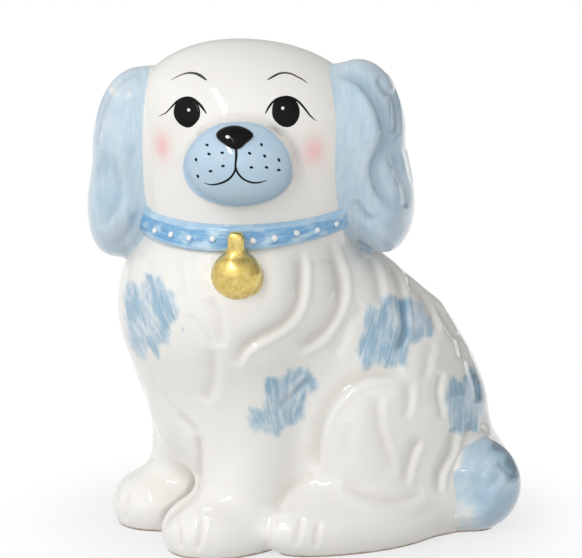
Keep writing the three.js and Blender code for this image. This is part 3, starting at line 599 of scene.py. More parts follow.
def dabbed(places, outline, leans, dabs, seed):
    """How much paint the dabs leave at places, from 0 to 1, and the brush's coordinates there."""
    half_length, half_width, count, opacity, wash = dabs
    outline = np.asarray(outline, float)
    rng = np.random.default_rng(seed)
    tries = rng.uniform(outline.min(0), outline.max(0), (count * DAB_TRIES, 2))
    tries = tries[outline_distance(tries, outline) < -0.5 * half_width][:count]
    turns = leans_at(tries, leans) + rng.normal(0, DAB_TURN, len(tries))
    lengths = half_length * rng.uniform(*DAB_LENGTHS, len(tries))
    widths = half_width * rng.uniform(*DAB_SHARES, len(tries))
    strengths = opacity * rng.uniform(*DAB_OPACITIES, len(tries))
    bare = 1 - wash * np.clip(WASH_START - outline_distance(places, outline) / WASH_EDGE, 0, 1)
    for centre, turn, length, width, strength in zip(tries, turns, lengths, widths, strengths):
        along = np.array([math.sin(turn), math.cos(turn)])
        across = np.array([math.cos(turn), -math.sin(turn)])
        beyond = rng.uniform(*DAB_BEYOND)
        ends = np.array([centre - along * length, centre + along * length])
        while length > DAB_SHORTEST and outline_distance(ends, outline).max() > beyond:
            length *= DAB_SHRINK
            ends = np.array([centre - along * length, centre + along * length])
        offset = places - centre
        v = np.clip((offset @ along) / length, -1, 1)
        taper = width * np.sqrt(1 - v**2) * (1 - DAB_TAPER * v)
        edge = np.clip((taper - np.abs(offset @ across)) / 2 + 0.4, 0, 1)
        edge *= np.clip((1 - np.abs(v)) * length / DAB_END, 0, 1)
        bare *= 1 - np.minimum(strength, DAB_MOST) * edge
    middle = outline.mean(0)
    turn = leans_at(places, leans)
    offset = (places - middle) * MM_PER_PIXEL
    across = offset[:, 0] * np.cos(turn) - offset[:, 1] * np.sin(turn)
    along = offset[:, 0] * np.sin(turn) + offset[:, 1] * np.cos(turn)
    return 1 - bare, np.stack([across, along, np.full(len(places), seed * 7.0)], -1)


def body_paint(points, normals):
    """Paint on the body, from 0 to 1, and the brush's coordinates."""
    paint = np.zeros(len(points))
    brush = np.zeros((len(points), 3))
    shown = normals @ BACK > 0.0
    f, l = to_body(points[:, 0], points[:, 1])
    rows = [(photo_place(points), shown, *patch) for patch in PATCHES]
    turns = np.linspace(0, 2 * math.pi, 13)[:-1]
    for pf, pl, pz, half_length, half_height in HIDDEN_PATCHES:
        places = np.stack([f - pf, pz - points[:, 2]], -1) / MM_PER_PIXEL
        ragged = 1 + 0.1 * np.sin(turns * 5 + pz) + 0.08 * np.sin(turns * 2 + pf)
        round_patch = np.stack([np.cos(turns) * half_length, np.sin(turns) * half_height], -1)
        close = ~shown & (np.abs(l - pl) < HIDDEN_REACH)
        outline = round_patch * ragged[:, None] / MM_PER_PIXEL
        rows.append((places, close, outline, HIDDEN_LEANS, HIDDEN_DABS))
    for seed, (places, able, outline, leans, dabs) in enumerate(rows):
        outline = np.asarray(outline, float)
        low, high = outline.min(0) - PATCH_MARGIN, outline.max(0) + PATCH_MARGIN
        near = able & np.all((places > low) & (places < high), axis=1)
        if near.any():
            added, strokes = dabbed(places[near], outline, leans, dabs, seed + 1)
            brush[near] = np.where((added > paint[near])[:, None], strokes, brush[near])
            paint[near] = np.maximum(paint[near], added)
    return paint, brush


# Materials


class Nodes:
    """A short way to write the nodes of a material or of the world."""

    def __init__(self, owner, output):
        owner.use_nodes = True
        self.tree = owner.node_tree
        self.tree.nodes.clear()
        self.out = self.add(output)

    def add(self, kind, **settings):
        node = self.tree.nodes.new(kind)
        for key, value in settings.items():
            setattr(node, key, value)
        return node

    def join(self, source, target):
        self.tree.links.new(source, target)

    def feed(self, node, key, value):
        socket = node.inputs[key]
        if isinstance(value, bpy.types.NodeSocket):
            self.join(value, socket)
        else:
            socket.default_value = value

    def feed_all(self, node, **settings):
        """Feeds sockets by name, with low lines in place of the names' spaces."""
        for key, value in settings.items():
            self.feed(node, key.replace("_", " "), value)

    def math(self, operation, a, b=0.0, c=0.0, clamp=False):
        node = self.add("ShaderNodeMath", operation=operation, use_clamp=clamp)
        for i, value in enumerate((a, b, c)):
            if i < len(node.inputs):
                self.feed(node, i, value)
        return node.outputs[0]

    def vector(self, operation, a, b):
        node = self.add("ShaderNodeVectorMath", operation=operation)
        self.feed(node, 0, a)
        self.feed(node, 1, b)
        return node.outputs[0]

    def dot(self, a, b):
        node = self.add("ShaderNodeVectorMath", operation="DOT_PRODUCT")
        self.feed(node, 0, a)
        self.feed(node, 1, b)
        return node.outputs["Value"]

    def attribute(self, name, vector=False):
        node = self.add("ShaderNodeAttribute", attribute_name=name)
        return node.outputs["Vector" if vector else "Fac"]

    def noise(self, vector, scale, detail=3.0, rough=0.5, distortion=0.0):
        node = self.add("ShaderNodeTexNoise")
        self.feed_all(node, Vector=vector, Scale=scale, Detail=detail)
        self.feed_all(node, Roughness=rough, Distortion=distortion)
        return node.outputs["Fac"]

    def remap(self, value, low, high, to_low=0.0, to_high=1.0, smooth=True):
        easing = "SMOOTHSTEP" if smooth else "LINEAR"
        node = self.add("ShaderNodeMapRange", interpolation_type=easing, clamp=True)
        self.feed_all(node, Value=value, From_Min=low, From_Max=high, To_Min=to_low, To_Max=to_high)
        return node.outputs["Result"]

    def mix(self, share, a, b):
        node = self.add("ShaderNodeMix", data_type="RGBA")
        self.feed_all(node, Factor=share, A=a, B=b)
        return node.outputs["Result"]

    def place(self):
        return self.add("ShaderNodeTexCoord").outputs["Object"]

    def split(self, vector):
        node = self.add("ShaderNodeSeparateXYZ")
        self.feed(node, 0, vector)
        return node.outputs

    def bump(self, height, strength, distance):
        node = self.add("ShaderNodeBump")
        self.feed_all(node, Height=height, Strength=strength, Distance=distance)
        return node.outputs["Normal"]

    def choose(self, share, first, second):
        """Shows the second shader by the given share, in place of the first."""
        choice = self.add("ShaderNodeMixShader")
        self.feed(choice, "Fac", share)
        self.join(first, choice.inputs[1])
        self.join(second, choice.inputs[2])
        self.join(choice.outputs["Shader"], self.out.inputs["Surface"])


class Material(Nodes):
    """A material with one shader, whose sockets are set by name."""

    def __init__(self, name):
        self.material = bpy.data.materials.new(name)
        super().__init__(self.material, "ShaderNodeOutputMaterial")
        self.shader = self.add("ShaderNodeBsdfPrincipled")
        self.join(self.shader.outputs["BSDF"], self.out.inputs["Surface"])

    def set(self, **settings):
        self.feed_all(self.shader, **settings)


def tone(red, green, blue):
    """A colour written as it shows on screen, 0 to 255."""
    linear = [((c / 255 + 0.055) / 1.055) ** 2.4 if c > 10 else c / 255 / 12.92 for c in (red, green, blue)]
    return (*linear, 1.0)


GLAZE_WHITE = tone(240, 238, 233)
# Grey of clouded glaze, and of glaze pooled in creases with painted shade there
GLAZE_POOL_AND_SHADE = tone(206, 202, 192)
BISQUE = tone(188, 166, 144)
BLUSH = tone(244, 182, 182)
PATCH_BLUE = tone(212, 226, 233)
PATCH_DEEP = tone(150, 184, 206)
EAR_BLUE = tone(208, 224, 233)
EAR_DEEP = tone(172, 199, 217)
# Darker blue in creases: pooled glaze and painted shade
POOLED_AND_SHADED_BLUE = tone(112, 142, 168)
SLATE = tone(104, 128, 146)
MUZZLE_BLUE = tone(202, 222, 236)
MUZZLE_DEEP = tone(168, 197, 219)
COLLAR_BLUE = tone(132, 188, 223)
COLLAR_DEEP = tone(92, 154, 206)
COLLAR_LIGHT = tone(194, 221, 238)


# Brush textures: how finely each varies across and along the stroke, and from one patch to the next
BRISTLE, HAIR, POOL = (0.62, 0.07, 1.0), (1.7, 0.12, 2.0), (0.16, 0.08, 3.0)
# Scales of the glaze's clouding and ripple, and of the foot's frayed edge
MOTTLE_SCALE, RIPPLE_SCALE, FRAY_SCALE = 45.0, 62.0, 260.0


def glaze(name, blue, deep, streaks=0.0, soft=0.5, full=1.0, dabs=False):
    """Glossy white glaze, blue where the paint value is below zero, or as much as dabs have left."""
    n = Material(name)
    place = n.place()
    paint = n.attribute("paint")
    stroke = n.attribute("stroke", vector=True)
    crease = n.attribute("crease")

    def brushed(stretch, detail, rough):
        return n.math("SUBTRACT", n.noise(n.vector("MULTIPLY", stroke, stretch), 1.0, detail, rough), 0.5)

    bristle = brushed(BRISTLE, 3.0, 0.6)
    hair = brushed(HAIR, 3.0, 0.6)
    pool = brushed(POOL, 2.0, 0.5)
    if dabs:
        worn = n.math("MULTIPLY_ADD", bristle, 0.6, n.math("MULTIPLY_ADD", hair, 0.7, paint))
        cover = n.math("MULTIPLY", n.remap(worn, 0.02, 0.85, smooth=False), n.remap(paint, 0.0, 0.35))
        fill = n.math("MULTIPLY_ADD", n.math("SUBTRACT", paint, 0.7), 1.4, 0.55)
        streaks = 1.2
    else:
        cover = n.remap(paint, soft, -full)
        fill = 0.5
    fill = n.math("MULTIPLY_ADD", bristle, 1.5 * streaks, fill)
    fill = n.math("MULTIPLY_ADD", hair, 0.9 * streaks, fill)
    fill = n.math("MULTIPLY_ADD", pool, 1.2 * streaks, fill, clamp=True)
    # The tint lightens the blue below zero, darkens it above, and holds the ears' painted shade and
    # highlights
    tint = n.attribute("tint")
    fill = n.math("ADD", fill, tint, clamp=True)
    cover = n.math("MULTIPLY", cover, n.remap(tint, -1.0, 0.0, 0.25, 1.0))
    blue_coat = n.mix(fill, blue, deep)
    mottle = n.noise(place, MOTTLE_SCALE, 2.0, 0.5)
    # The glaze clouds at random, and darkens in creases: glaze pooled there, and painted shade
    pooled_and_shaded = n.remap(crease, 0.3, 1.8, 0.0, 0.6)
    depth = n.math("ADD", pooled_and_shaded, n.remap(mottle, 0.4, 0.8, 0.0, 0.1), clamp=True)
    ground = n.mix(depth, GLAZE_WHITE, GLAZE_POOL_AND_SHADE)
    ground = n.mix(n.math("MULTIPLY", n.attribute("blush"), 0.75), ground, BLUSH)
    # The blue darkens in creases too: pooled glaze and painted shade
    blue_coat = n.mix(n.remap(crease, 0.3, 1.5, 0.0, 0.75 if dabs else 0.4), blue_coat, POOLED_AND_SHADED_BLUE)
    blue_coat = n.mix(n.remap(tint, 0.6, 1.6, 0.0, 0.8), blue_coat, SLATE)
    ground = n.mix(cover, ground, blue_coat)
    height = n.split(place)[2]
    fraying = n.math("SUBTRACT", n.noise(place, FRAY_SCALE, 2.0), 0.5)
    frayed = n.math("MULTIPLY_ADD", fraying, 0.0012, height)
    foot = n.remap(frayed, 0.0011, 0.0004)
    raw = n.math("MAXIMUM", foot, n.attribute("raw"))
    n.set(Base_Color=n.mix(raw, ground, BISQUE))
    seam = n.attribute("seam")
    n.set(Roughness=n.remap(n.math("MAXIMUM", raw, seam), 0.0, 1.0, 0.05, 0.75, smooth=False))
    n.set(IOR=1.5, Coat_Weight=n.remap(seam, 0.0, 1.0, 0.5, 0.0), Coat_Roughness=0.02, Coat_IOR=1.5)
    n.set(Subsurface_Weight=0.06, Subsurface_Scale=0.004)
    n.shader.inputs["Subsurface Radius"].default_value = (1.0, 0.9, 0.8)
    ripple = n.noise(place, RIPPLE_SCALE, 2.0, 0.4)
    n.set(Normal=n.bump(ripple, 0.1, 0.002))
    return n.material


def plain_gloss(name, colour, shade, roughness=0.14):
    n = Material(name)
    speck = n.noise(n.place(), 400.0, 3.0, 0.6)
    n.set(Base_Color=n.mix(speck, colour, shade))
    n.set(Roughness=n.remap(speck, 0.3, 0.8, roughness, roughness + 0.08))
    n.set(IOR=1.5, Coat_Weight=0.5, Coat_Roughness=0.05)
    n.set(Normal=n.bump(n.noise(n.place(), 120.0, 2.0), 0.1, 0.001))
    return n.material


def deep_gloss(name):
    """Black glaze, so dark that only its reflections show."""
    n = Material(name)
    n.set(Base_Color=n.mix(n.noise(n.place(), 400.0), tone(13, 12, 13), tone(24, 21, 22)))
    n.set(Roughness=0.06, IOR=1.2)
    n.set(Normal=n.bump(n.noise(n.place(), 120.0, 2.0), 0.08, 0.001))
    return n.material


def collar_glaze(name):
    n = Material(name)
    stroke = n.attribute("stroke", vector=True)
    parts = n.split(stroke)
    streak = n.noise(n.vector("MULTIPLY", stroke, (0.09, 1.5, 1.0)), 1.0, 4.0, 0.6)
    blot = n.noise(n.vector("MULTIPLY", stroke, (0.12, 0.25, 1.0)), 1.0, 2.0, 0.5)
    colour = n.mix(n.remap(streak, 0.38, 0.66), COLLAR_DEEP, COLLAR_BLUE)
    colour = n.mix(n.remap(blot, 0.42, 0.75), colour, COLLAR_LIGHT)
    # Lighter towards both rims of the band: thinner blue there, and a painted highlight along them
    edge = n.remap(n.math("ABSOLUTE", parts[1]), 2.4, 4.0, 0.0, 0.55)
    colour = n.mix(edge, colour, COLLAR_LIGHT)
    n.set(Base_Color=colour, Roughness=0.16, IOR=1.5, Coat_Weight=0.6, Coat_Roughness=0.04)
    n.set(Normal=n.bump(streak, 0.15, 0.0008))
    return n.material


def gilding(name):
    n = Material(name)
    place = n.place()
    leaf = n.noise(place, 420.0, 4.0, 0.6, 0.4)
    cloud = n.noise(place, 130.0, 2.0, 0.5)
    colour = n.mix(n.remap(leaf, 0.35, 0.7), tone(208, 180, 92), tone(236, 214, 132))
    colour = n.mix(n.remap(cloud, 0.45, 0.75, 0.0, 0.3), colour, tone(204, 176, 88))
    n.set(Base_Color=colour, Metallic=1.0)
    n.set(Roughness=n.remap(leaf, 0.3, 0.8, 0.22, 0.36))
    n.set(Coat_Weight=0.7, Coat_Roughness=0.15, Coat_IOR=1.55)
    n.set(Normal=n.bump(leaf, 0.05, 0.0003))
    return n.material


def soft_plastic(name):
    n = Material(name)
    grain = n.noise(n.place(), 900.0, 3.0, 0.6)
    n.set(Base_Color=n.mix(n.remap(grain, 0.3, 0.7), tone(222, 222, 214), tone(232, 232, 226)))
    n.set(Roughness=n.remap(grain, 0.3, 0.7, 0.42, 0.55))
    n.set(Subsurface_Weight=0.25, Subsurface_Scale=0.004, IOR=1.45)
    n.set(Normal=n.bump(grain, 0.15, 0.0003))
    return n.material


patch_glaze = glaze("white_glaze_with_patches", PATCH_BLUE, PATCH_DEEP, dabs=True)
face_glaze = glaze("white_glaze_with_muzzle", MUZZLE_BLUE, MUZZLE_DEEP, streaks=0.15, soft=0.3, full=0.7)
ear_glaze = glaze("brushed_blue_glaze", EAR_BLUE, EAR_DEEP, streaks=0.75, soft=0.35, full=0.7)
black_glaze = deep_gloss("black_glaze")
white_dot = plain_gloss("white_dot_glaze", tone(244, 244, 242), tone(232, 234, 236))
brow_paint = plain_gloss("dark_brush_line", tone(34, 32, 34), tone(58, 54, 54), 0.2)
collar_blue = collar_glaze("collar_glaze")
gold = gilding("gold_lustre")
stopper_plastic = soft_plastic("stopper_plastic")


# Shells


def collar_plane(x, y):
    return COLLAR_HEIGHT + COLLAR_TILT * y + COLLAR_LEAN * x


def hollowed(x, y, z):
    chamber = np.maximum(dog_clay(x, y, z) + WALL, FLOOR - z)
    return np.maximum(dog_clay(x, y, z), -chamber)


HOLE_RADIUS, RECESS_RADIUS, RECESS_DEPTH = 17, 23, 3.2
SLOT_HEIGHT, SLOT_WIDTH, SLOT_ABOVE_COLLAR = 5.2, 38, 28.6
SEAM = 0.15


def body_shell_field(x, y, z):
    shell = np.maximum(np.maximum(hollowed(x, y, z), z - collar_plane(x, y) + SEAM), -z)
    away = np.sqrt((x - STOPPER_PLACE[0]) ** 2 + (y - STOPPER_PLACE[1]) ** 2)
    hole = np.maximum(away - HOLE_RADIUS, z - FLOOR - WALL)
    recess = np.maximum(away - RECESS_RADIUS, z - RECESS_DEPTH)
    return np.maximum(shell, -np.minimum(hole, recess))


def head_shell_field(x, y, z):
    shell = np.maximum(hollowed(x, y, z), collar_plane(x, y) + SEAM - z)
    radius = SLOT_HEIGHT / 2
    straight = SLOT_WIDTH / 2 - radius
    along = np.maximum(np.abs(x) - straight, 0)
    slot = np.maximum(np.sqrt(along**2 + (z - COLLAR_HEIGHT - SLOT_ABOVE_COLLAR) ** 2) - radius, 8 - y)
    return -smooth_min(-shell, slot, 1.2)


def mirror_front_to_back(points, normals):
    flip = np.array([1, -1, 1])
    return points * flip, normals * flip


# Pink cheeks: their pixel places, and their half widths and heights in millimetres
BLUSH_PLACES = [(162, 146), (314, 151)]
BLUSH_SIZES = [(3.2, 5.0), (3.8, 5.2)]
BLUSH_DEPTH = 14


def blush_value(points):
    """Pink airbrushed cheeks."""
    value = np.zeros(len(points))
    for centre, (wide, high) in zip(under_pixels(head_clay, BLUSH_PLACES), BLUSH_SIZES):
        offset = (points - centre) / (wide, BLUSH_DEPTH, high)
        value += np.exp(-0.9 * (offset**2).sum(1))
    return value


# Where the blue is lighter (below zero) or darker: a pixel place, its reach in pixels and the amount
BODY_TINTS = [
    (478, 374, 6, 1.6), (483, 386, 7, 2.0), (486, 398, 6, 2.0), (368, 345, 14, 0.25),
    (424, 325, 12, -0.25), (480, 425, 8, 0.3),
]
TAIL_TINTS = [
    (466, 514, 12, -0.95), (490, 507, 16, 0.75), (482, 480, 14, 0.45), (512, 462, 9, 1.6),
    (503, 448, 9, 1.6), (518, 474, 7, 1.5), (471, 488, 9, -0.25), (510, 500, 12, 0.6), (495, 440, 7, 1.3),
]
# Darker blue on the left ear's outer edge is painted shade; the two small light spots are painted highlights
EAR_TINTS_AND_PAINTED_LIGHT = [
    (118, 88, 16, -0.3), (104, 120, 12, -0.25), (106, 165, 13, 0.3), (112, 200, 14, 0.3),
    (135, 120, 12, 0.1), (130, 230, 12, -0.1), (350, 90, 12, 0.15), (362, 150, 14, -0.15),
    (376, 120, 12, 0.2), (397, 150, 12, 0.45), (400, 110, 10, 0.35), (390, 215, 14, 0.25),
    (405, 200, 10, 0.5), (358, 225, 10, 0.1), (405, 165, 9, 0.75), (402, 135, 8, 0.5), (113, 91, 3, -0.8),
    (127, 97, 3, -0.6),
]


def tint_value(points, tints):
    """How much lighter or darker the blue is, with a brushed edge; it holds painted shade and highlights on
    the ears.
    """
    pixels = photo_place(points)
    across, down = pixels.T
    wave = np.stack([np.sin(down / 3.1 + across / 7), np.sin(across / 4.3 + down / 11)], -1)
    value = np.zeros(len(points))
    for x, y, reach, amount in tints:
        away = np.linalg.norm(pixels + wave * 2 - (x, y), axis=1) / reach
        value += amount * np.exp(-(away**2))
    return value


def raw_value(points):
    """1 on the unglazed inside and in the stopper's recess."""
    clay = dog_clay(*points.T)
    inside = np.clip(-clay - 1.6, 0, 1)
    under = (points[:, 2] < RECESS_DEPTH + 0.6) & (clay < -1.5)
    return np.maximum(inside, under)


# Beside the pendant the glaze is thin: the pixel place and the reach of its soft sheen
SOFT_SHEEN, SOFT_SHEEN_REACH = (214, 262), 18

# Opposite corners of the boxes that the pieces are modelled in; the ears' is the left ear's
BODY_BOX = (-66, -62, -2), (108, 84, COLLAR_HEIGHT + 14)
HEAD_BOX = (-54, -64, COLLAR_HEIGHT - 16), (54, 48, 202)
EAR_BOX = (8, -36, 100), (76, 42, 196)
TAIL_BOX = (40, -8, -2), (112, 62, 48)
# Clay less deep than this is a piece's outside, and creases fade out this near the ground
SKIN, CREASE_FOOT = 1.2, 3


def above_foot(points):
    return np.clip(points[:, 2] / CREASE_FOOT, 0, 1)


def make_body():
    points, quads = clay_mesh(body_shell_field, *BODY_BOX)
    points = flat_foot(points)
    normals = vertex_normals(points, quads)
    outer = dog_clay(*points.T) > -SKIN
    sunk = evened(both_sides(points, normals, BODY_CREASES, other_side), quads)
    sunk *= outer * above_foot(points)
    paint, stroke = body_paint(points, normals)
    sheen = np.linalg.norm(photo_place(points) - SOFT_SHEEN, axis=1) / SOFT_SHEEN_REACH
    values = {
        "paint": paint * outer,
        "seam": 0.7 * np.exp(-(sheen**4)),
        "stroke": stroke,
        "tint": tint_value(points, BODY_TINTS) * (normals @ BACK > 0),
        "crease": np.maximum(sunk, 0),
        "raw": raw_value(points),
    }
    points = points - normals * sunk[:, None]
    piece("body_shell_glazed", points, quads, patch_glaze, "white_glaze", ["body_shell"], values)


def make_head():
    points, quads = clay_mesh(head_shell_field, *HEAD_BOX)
    outer = dog_clay(*points.T) > -SKIN
    paint = muzzle_paint(points)
    values = {
        "paint": paint,
        "stroke": np.stack([points[:, 0] * 0.6, points[:, 2] * 1.4, np.full(len(points), 3.0)], -1),
        # A ring round the muzzle's foot that darkens the colour there: pooled glaze and painted shade
        "crease": 0.8 * np.exp(-np.abs(muzzle_clay(*points.T)) / 1.2) * (outer & (paint > -1.5)),
        "seam": np.where(paint < 0.2, np.clip(paint / 3 + 1.6, 0, 1), 0),
        "blush": blush_value(points) * outer,
        "raw": raw_value(points),
    }
    piece("head_shell_glazed", points, quads, face_glaze, "white_glaze", ["head_shell"], values)


MUZZLE_OUTLINE = [
    (182, 167), (184, 157), (189, 146), (197, 136.5), (208, 128), (221, 122.5), (236, 121), (250, 121.5),
    (263, 125), (273, 131.5), (282, 141), (289, 152), (292.5, 164), (293, 174), (291.5, 183), (286, 191),
    (277, 198), (264, 203.5), (250, 206.5), (237, 207.5), (221, 206), (208, 202), (197, 196.5),
    (189, 188.5), (184, 178),
]
# The muzzle's paint lies before this, and elsewhere its distance is a plain large one
MUZZLE_BACK, FAR_FROM_PAINT = -26, 9.0


def muzzle_paint(points):
    """Signed distance to the blue of the muzzle, in millimetres."""
    gap = outline_distance(photo_place(points), MUZZLE_OUTLINE) * MM_PER_PIXEL
    return np.where(points[:, 1] < MUZZLE_BACK, gap, FAR_FROM_PAINT)


# Pieces that are luted on: each is cut a little under the glaze of what carries it, and a small fillet
# of slip runs round its foot.


def luted(field, blend=3.5, lap=0.5, reach=3.5, carrier=dog_clay, embed=2.0):
    def joined(x, y, z):
        own = field(x, y, z)
        carried = carrier(x, y, z)
        with_fillet = smooth_min(own, carried + lap, blend)
        return np.maximum(np.maximum(with_fillet, own - reach), -carried - embed)

    return joined


# How far right the blue reaches on the right ear: pixel heights, each with its pixel across
RIGHT_EAR_BORDER = [
    (60, 152), (75, 149.5), (90, 146.5), (110, 144), (140, 143), (170, 143.5), (195, 145), (206, 148),
    (216, 160),
]


# How far an ear's blue runs beyond its own clay, onto the fillet, in millimetres
EAR_BLUE_REACH = 3.2


def make_ear(side, name, node):
    field = ear_field(side)
    (inner, *low), (outer, *high) = EAR_BOX
    near, far = sorted((side * inner, side * outer))
    points, quads = clay_mesh(luted(field, blend=7, reach=5, lap=1.3), (near, *low), (far, *high))
    normals = vertex_normals(points, quads)
    sunk = evened(both_sides(points, normals, EAR_CREASES, mirror_front_to_back), quads)
    sunk *= np.clip(dog_clay(*points.T) / 1.5, 0, 1)
    pixels = photo_place(points)
    across = pixels[:, 0] * MM_PER_PIXEL + np.sin(pixels[:, 1] / 26) * 1.6
    border = np.interp(pixels[:, 1], *np.transpose(RIGHT_EAR_BORDER))
    bordered = (side < 0) & (points[:, 1] < 0)
    beyond = np.where(bordered, (pixels[:, 0] - border) * MM_PER_PIXEL, -FAR_FROM_PAINT)
    values = {
        "paint": np.maximum(field(*points.T) - EAR_BLUE_REACH, beyond),
        "stroke": np.stack([across, points[:, 2], np.full(len(points), 11.0 * side)], -1),
        # The ears' tint holds painted shade and painted highlights
        "tint": tint_value(points, EAR_TINTS_AND_PAINTED_LIGHT) * towards(normals),
        "crease": np.maximum(sunk, 0),
    }
    points = points - normals * sunk[:, None]
    piece(name, points, quads, ear_glaze, "pale_blue_glaze", [node], values)


def make_tail():
    def grounded(x, y, z):
        return np.maximum(luted(tail_clay)(x, y, z), -z)

    points, quads = clay_mesh(grounded, *TAIL_BOX)
    points = flat_foot(points)
    normals = vertex_normals(points, quads)
    sunk = both_sides(points, normals, TAIL_CREASES, other_side) * above_foot(points)
    x, _, z = points.T
    ragged = 1.6 + 1.1 * np.sin(z * 1.1 + 2 * np.sin(z * 0.5))
    values = {
        "paint": tail_clay(*points.T) * ragged - 0.9,
        "stroke": np.stack([x - z * 0.7, z + x * 0.7, np.full(len(points), 7.0)], -1),
        "tint": tint_value(points, TAIL_TINTS) * np.clip(normals @ BACK / 0.1, 0, 1),
        "crease": np.maximum(sunk, 0),
    }
    points = points - normals * sunk[:, None]
    piece("tail_glazed", points, quads, ear_glaze, "pale_blue_glaze", ["tail"], values)


NOSE_OUTLINE = [
    (216.2, 136.5), (218, 132.5), (223, 129.3), (229, 127.5), (236, 127), (243, 128.3), (249, 131),
    (252.7, 134.2), (253, 137), (250, 140.2), (246, 143.4), (242.5, 146.8), (239, 149), (234, 149.2),
    (229.5, 147.6), (224, 144.2), (219, 140.5),
]
# Painted nose highlight, a white dot: its pixel place and radii, and its height in millimetres above the
# clay
NOSE_PAINTED_HIGHLIGHT, NOSE_HIGHLIGHT_RADII, NOSE_HIGHLIGHT_ABOVE = (227.8, 136.9), (2.4, 1.8), 2.15


def make_nose():
    raised_shape("nose_glazed", NOSE_OUTLINE, lift=2.4, fullness=2.6, replaced=["nose"], sink=0.5)
    # A painted highlight: a white dot of glaze where the nose shines
    white_spot("nose_painted_highlight", NOSE_PAINTED_HIGHLIGHT, NOSE_HIGHLIGHT_RADII, NOSE_HIGHLIGHT_ABOVE, lift=0.3, lean=0.2)


# Collar

COLLAR_HALF = 4.7
COLLAR_RELIEF = 1.8
# The band's section: shares of its half width up, with the height in millimetres above the neck
COLLAR_SECTION = [
    (-1, -2.0), (-1, 0.2), (-0.95, 0.8), (-0.82, 1.25), (-0.6, 1.55), (-0.3, 1.75), (0, COLLAR_RELIEF),
    (0.3, 1.75), (0.6, 1.6), (0.78, 1.65), (0.9, 1.3), (0.98, 0.7), (1, 0.2), (1, -2.0),
]


def neck_band(x, y, z):
    return smooth_min(body_clay(x, y, z), head_clay(x, y, z), 12)


def collar_points(angles, rise, relief):
    """Points of the band at angles from the front, at a rise above its middle."""
    aim_x, aim_y = np.sin(angles), -np.cos(angles)
    inner, outer = np.zeros(len(angles)), np.full(len(angles), 90.0)
    for _ in range(30):
        radius = (inner + outer) / 2
        x, y = aim_x * radius, aim_y * radius
        within = neck_band(x, y, collar_plane(x, y) + rise) < relief
        inner, outer = np.where(within, radius, inner), np.where(within, outer, radius)
    x, y = aim_x * radius, aim_y * radius
    return np.stack([x, y, collar_plane(x, y) + rise], -1)


def make_collar():
    count = 360
    angles = np.arange(count) / count * 2 * math.pi
    section = [(COLLAR_HALF * share, depth) for share, depth in COLLAR_SECTION]
    rings = [collar_points(angles, rise, depth) for rise, depth in section]
    points = np.vstack(rings)
    rows = len(section)
    faces = []
    for row in range(rows):
        below = (row + 1) % rows
        faces += ring_quads(row * count, below * count, count)
    middle = collar_points(angles, 0, COLLAR_RELIEF)
    lengths = np.cumsum(np.linalg.norm(middle - np.roll(middle, 1, axis=0), axis=1))
    level = np.zeros(count)
    stroke = np.vstack([np.stack([lengths, level + rise, level], -1) for rise, _ in section])
    piece("collar_band", points, faces, collar_blue, "blue_glaze", ["collar"], {"stroke": stroke})


def dome(centre, normal, radius, height):
    """A low round bead of paint or clay on a surface."""
    rings, sides, sink = 4, 20, 0.5
    side = np.cross(normal, [0.0, 0.0, 1.0])
    side /= np.linalg.norm(side)
    up = np.cross(side, normal)
    points = [centre + normal * height]
    for ring in range(1, rings + 1):
        share = ring / rings
        lift = height * math.sqrt(max(1 - share * share, 0)) - (sink if ring == rings else 0)
        for step in range(sides):
            turn = step / sides * 2 * math.pi
            away = (side * math.cos(turn) + up * math.sin(turn)) * radius * share
            points.append(centre + away + normal * lift)
    faces = [(0, 1 + step, 1 + (step + 1) % sides) for step in range(sides)]
    for ring in range(rings - 1):
        faces += ring_quads(1 + (ring + 1) * sides, 1 + ring * sides, sides)
    last = 1 + (rings - 1) * sides
    faces.append(tuple(last + s for s in range(sides))[::-1])
    return points, faces


def domes(name, places, radius, height, material, slot, values=None):
    points, faces = [], []
    for centre, normal in places:
        start = len(points)
        more_points, more_faces = dome(centre, normal, radius, height)
        points += more_points
        faces += [tuple(start + i for i in face) for face in more_faces]
    points = np.array(points)
    piece(name, points, faces, material, slot, values=values(points) if values else None)


# Pixel places of the white dots that show on the collar, from the left end to the right
COLLAR_DOTS = [
    (155, 230.5), (171, 234.5), (189, 238), (212.5, 239), (253, 240.7), (274.6, 238), (296.6, 233),
    (317, 230), (336.4, 224),
]
DOT_PITCH = 9.4
# Studs under the dots: how far they wander, how far below the dots they sit, their radius and height
STUD_WANDER, STUD_DROP, STUD_RADIUS, STUD_HEIGHT = 0.55, 0.35, 1.8, 0.6
DOT_LIFT, DOT_RADIUS, DOT_HEIGHT = 0.38, 1.3, 0.32


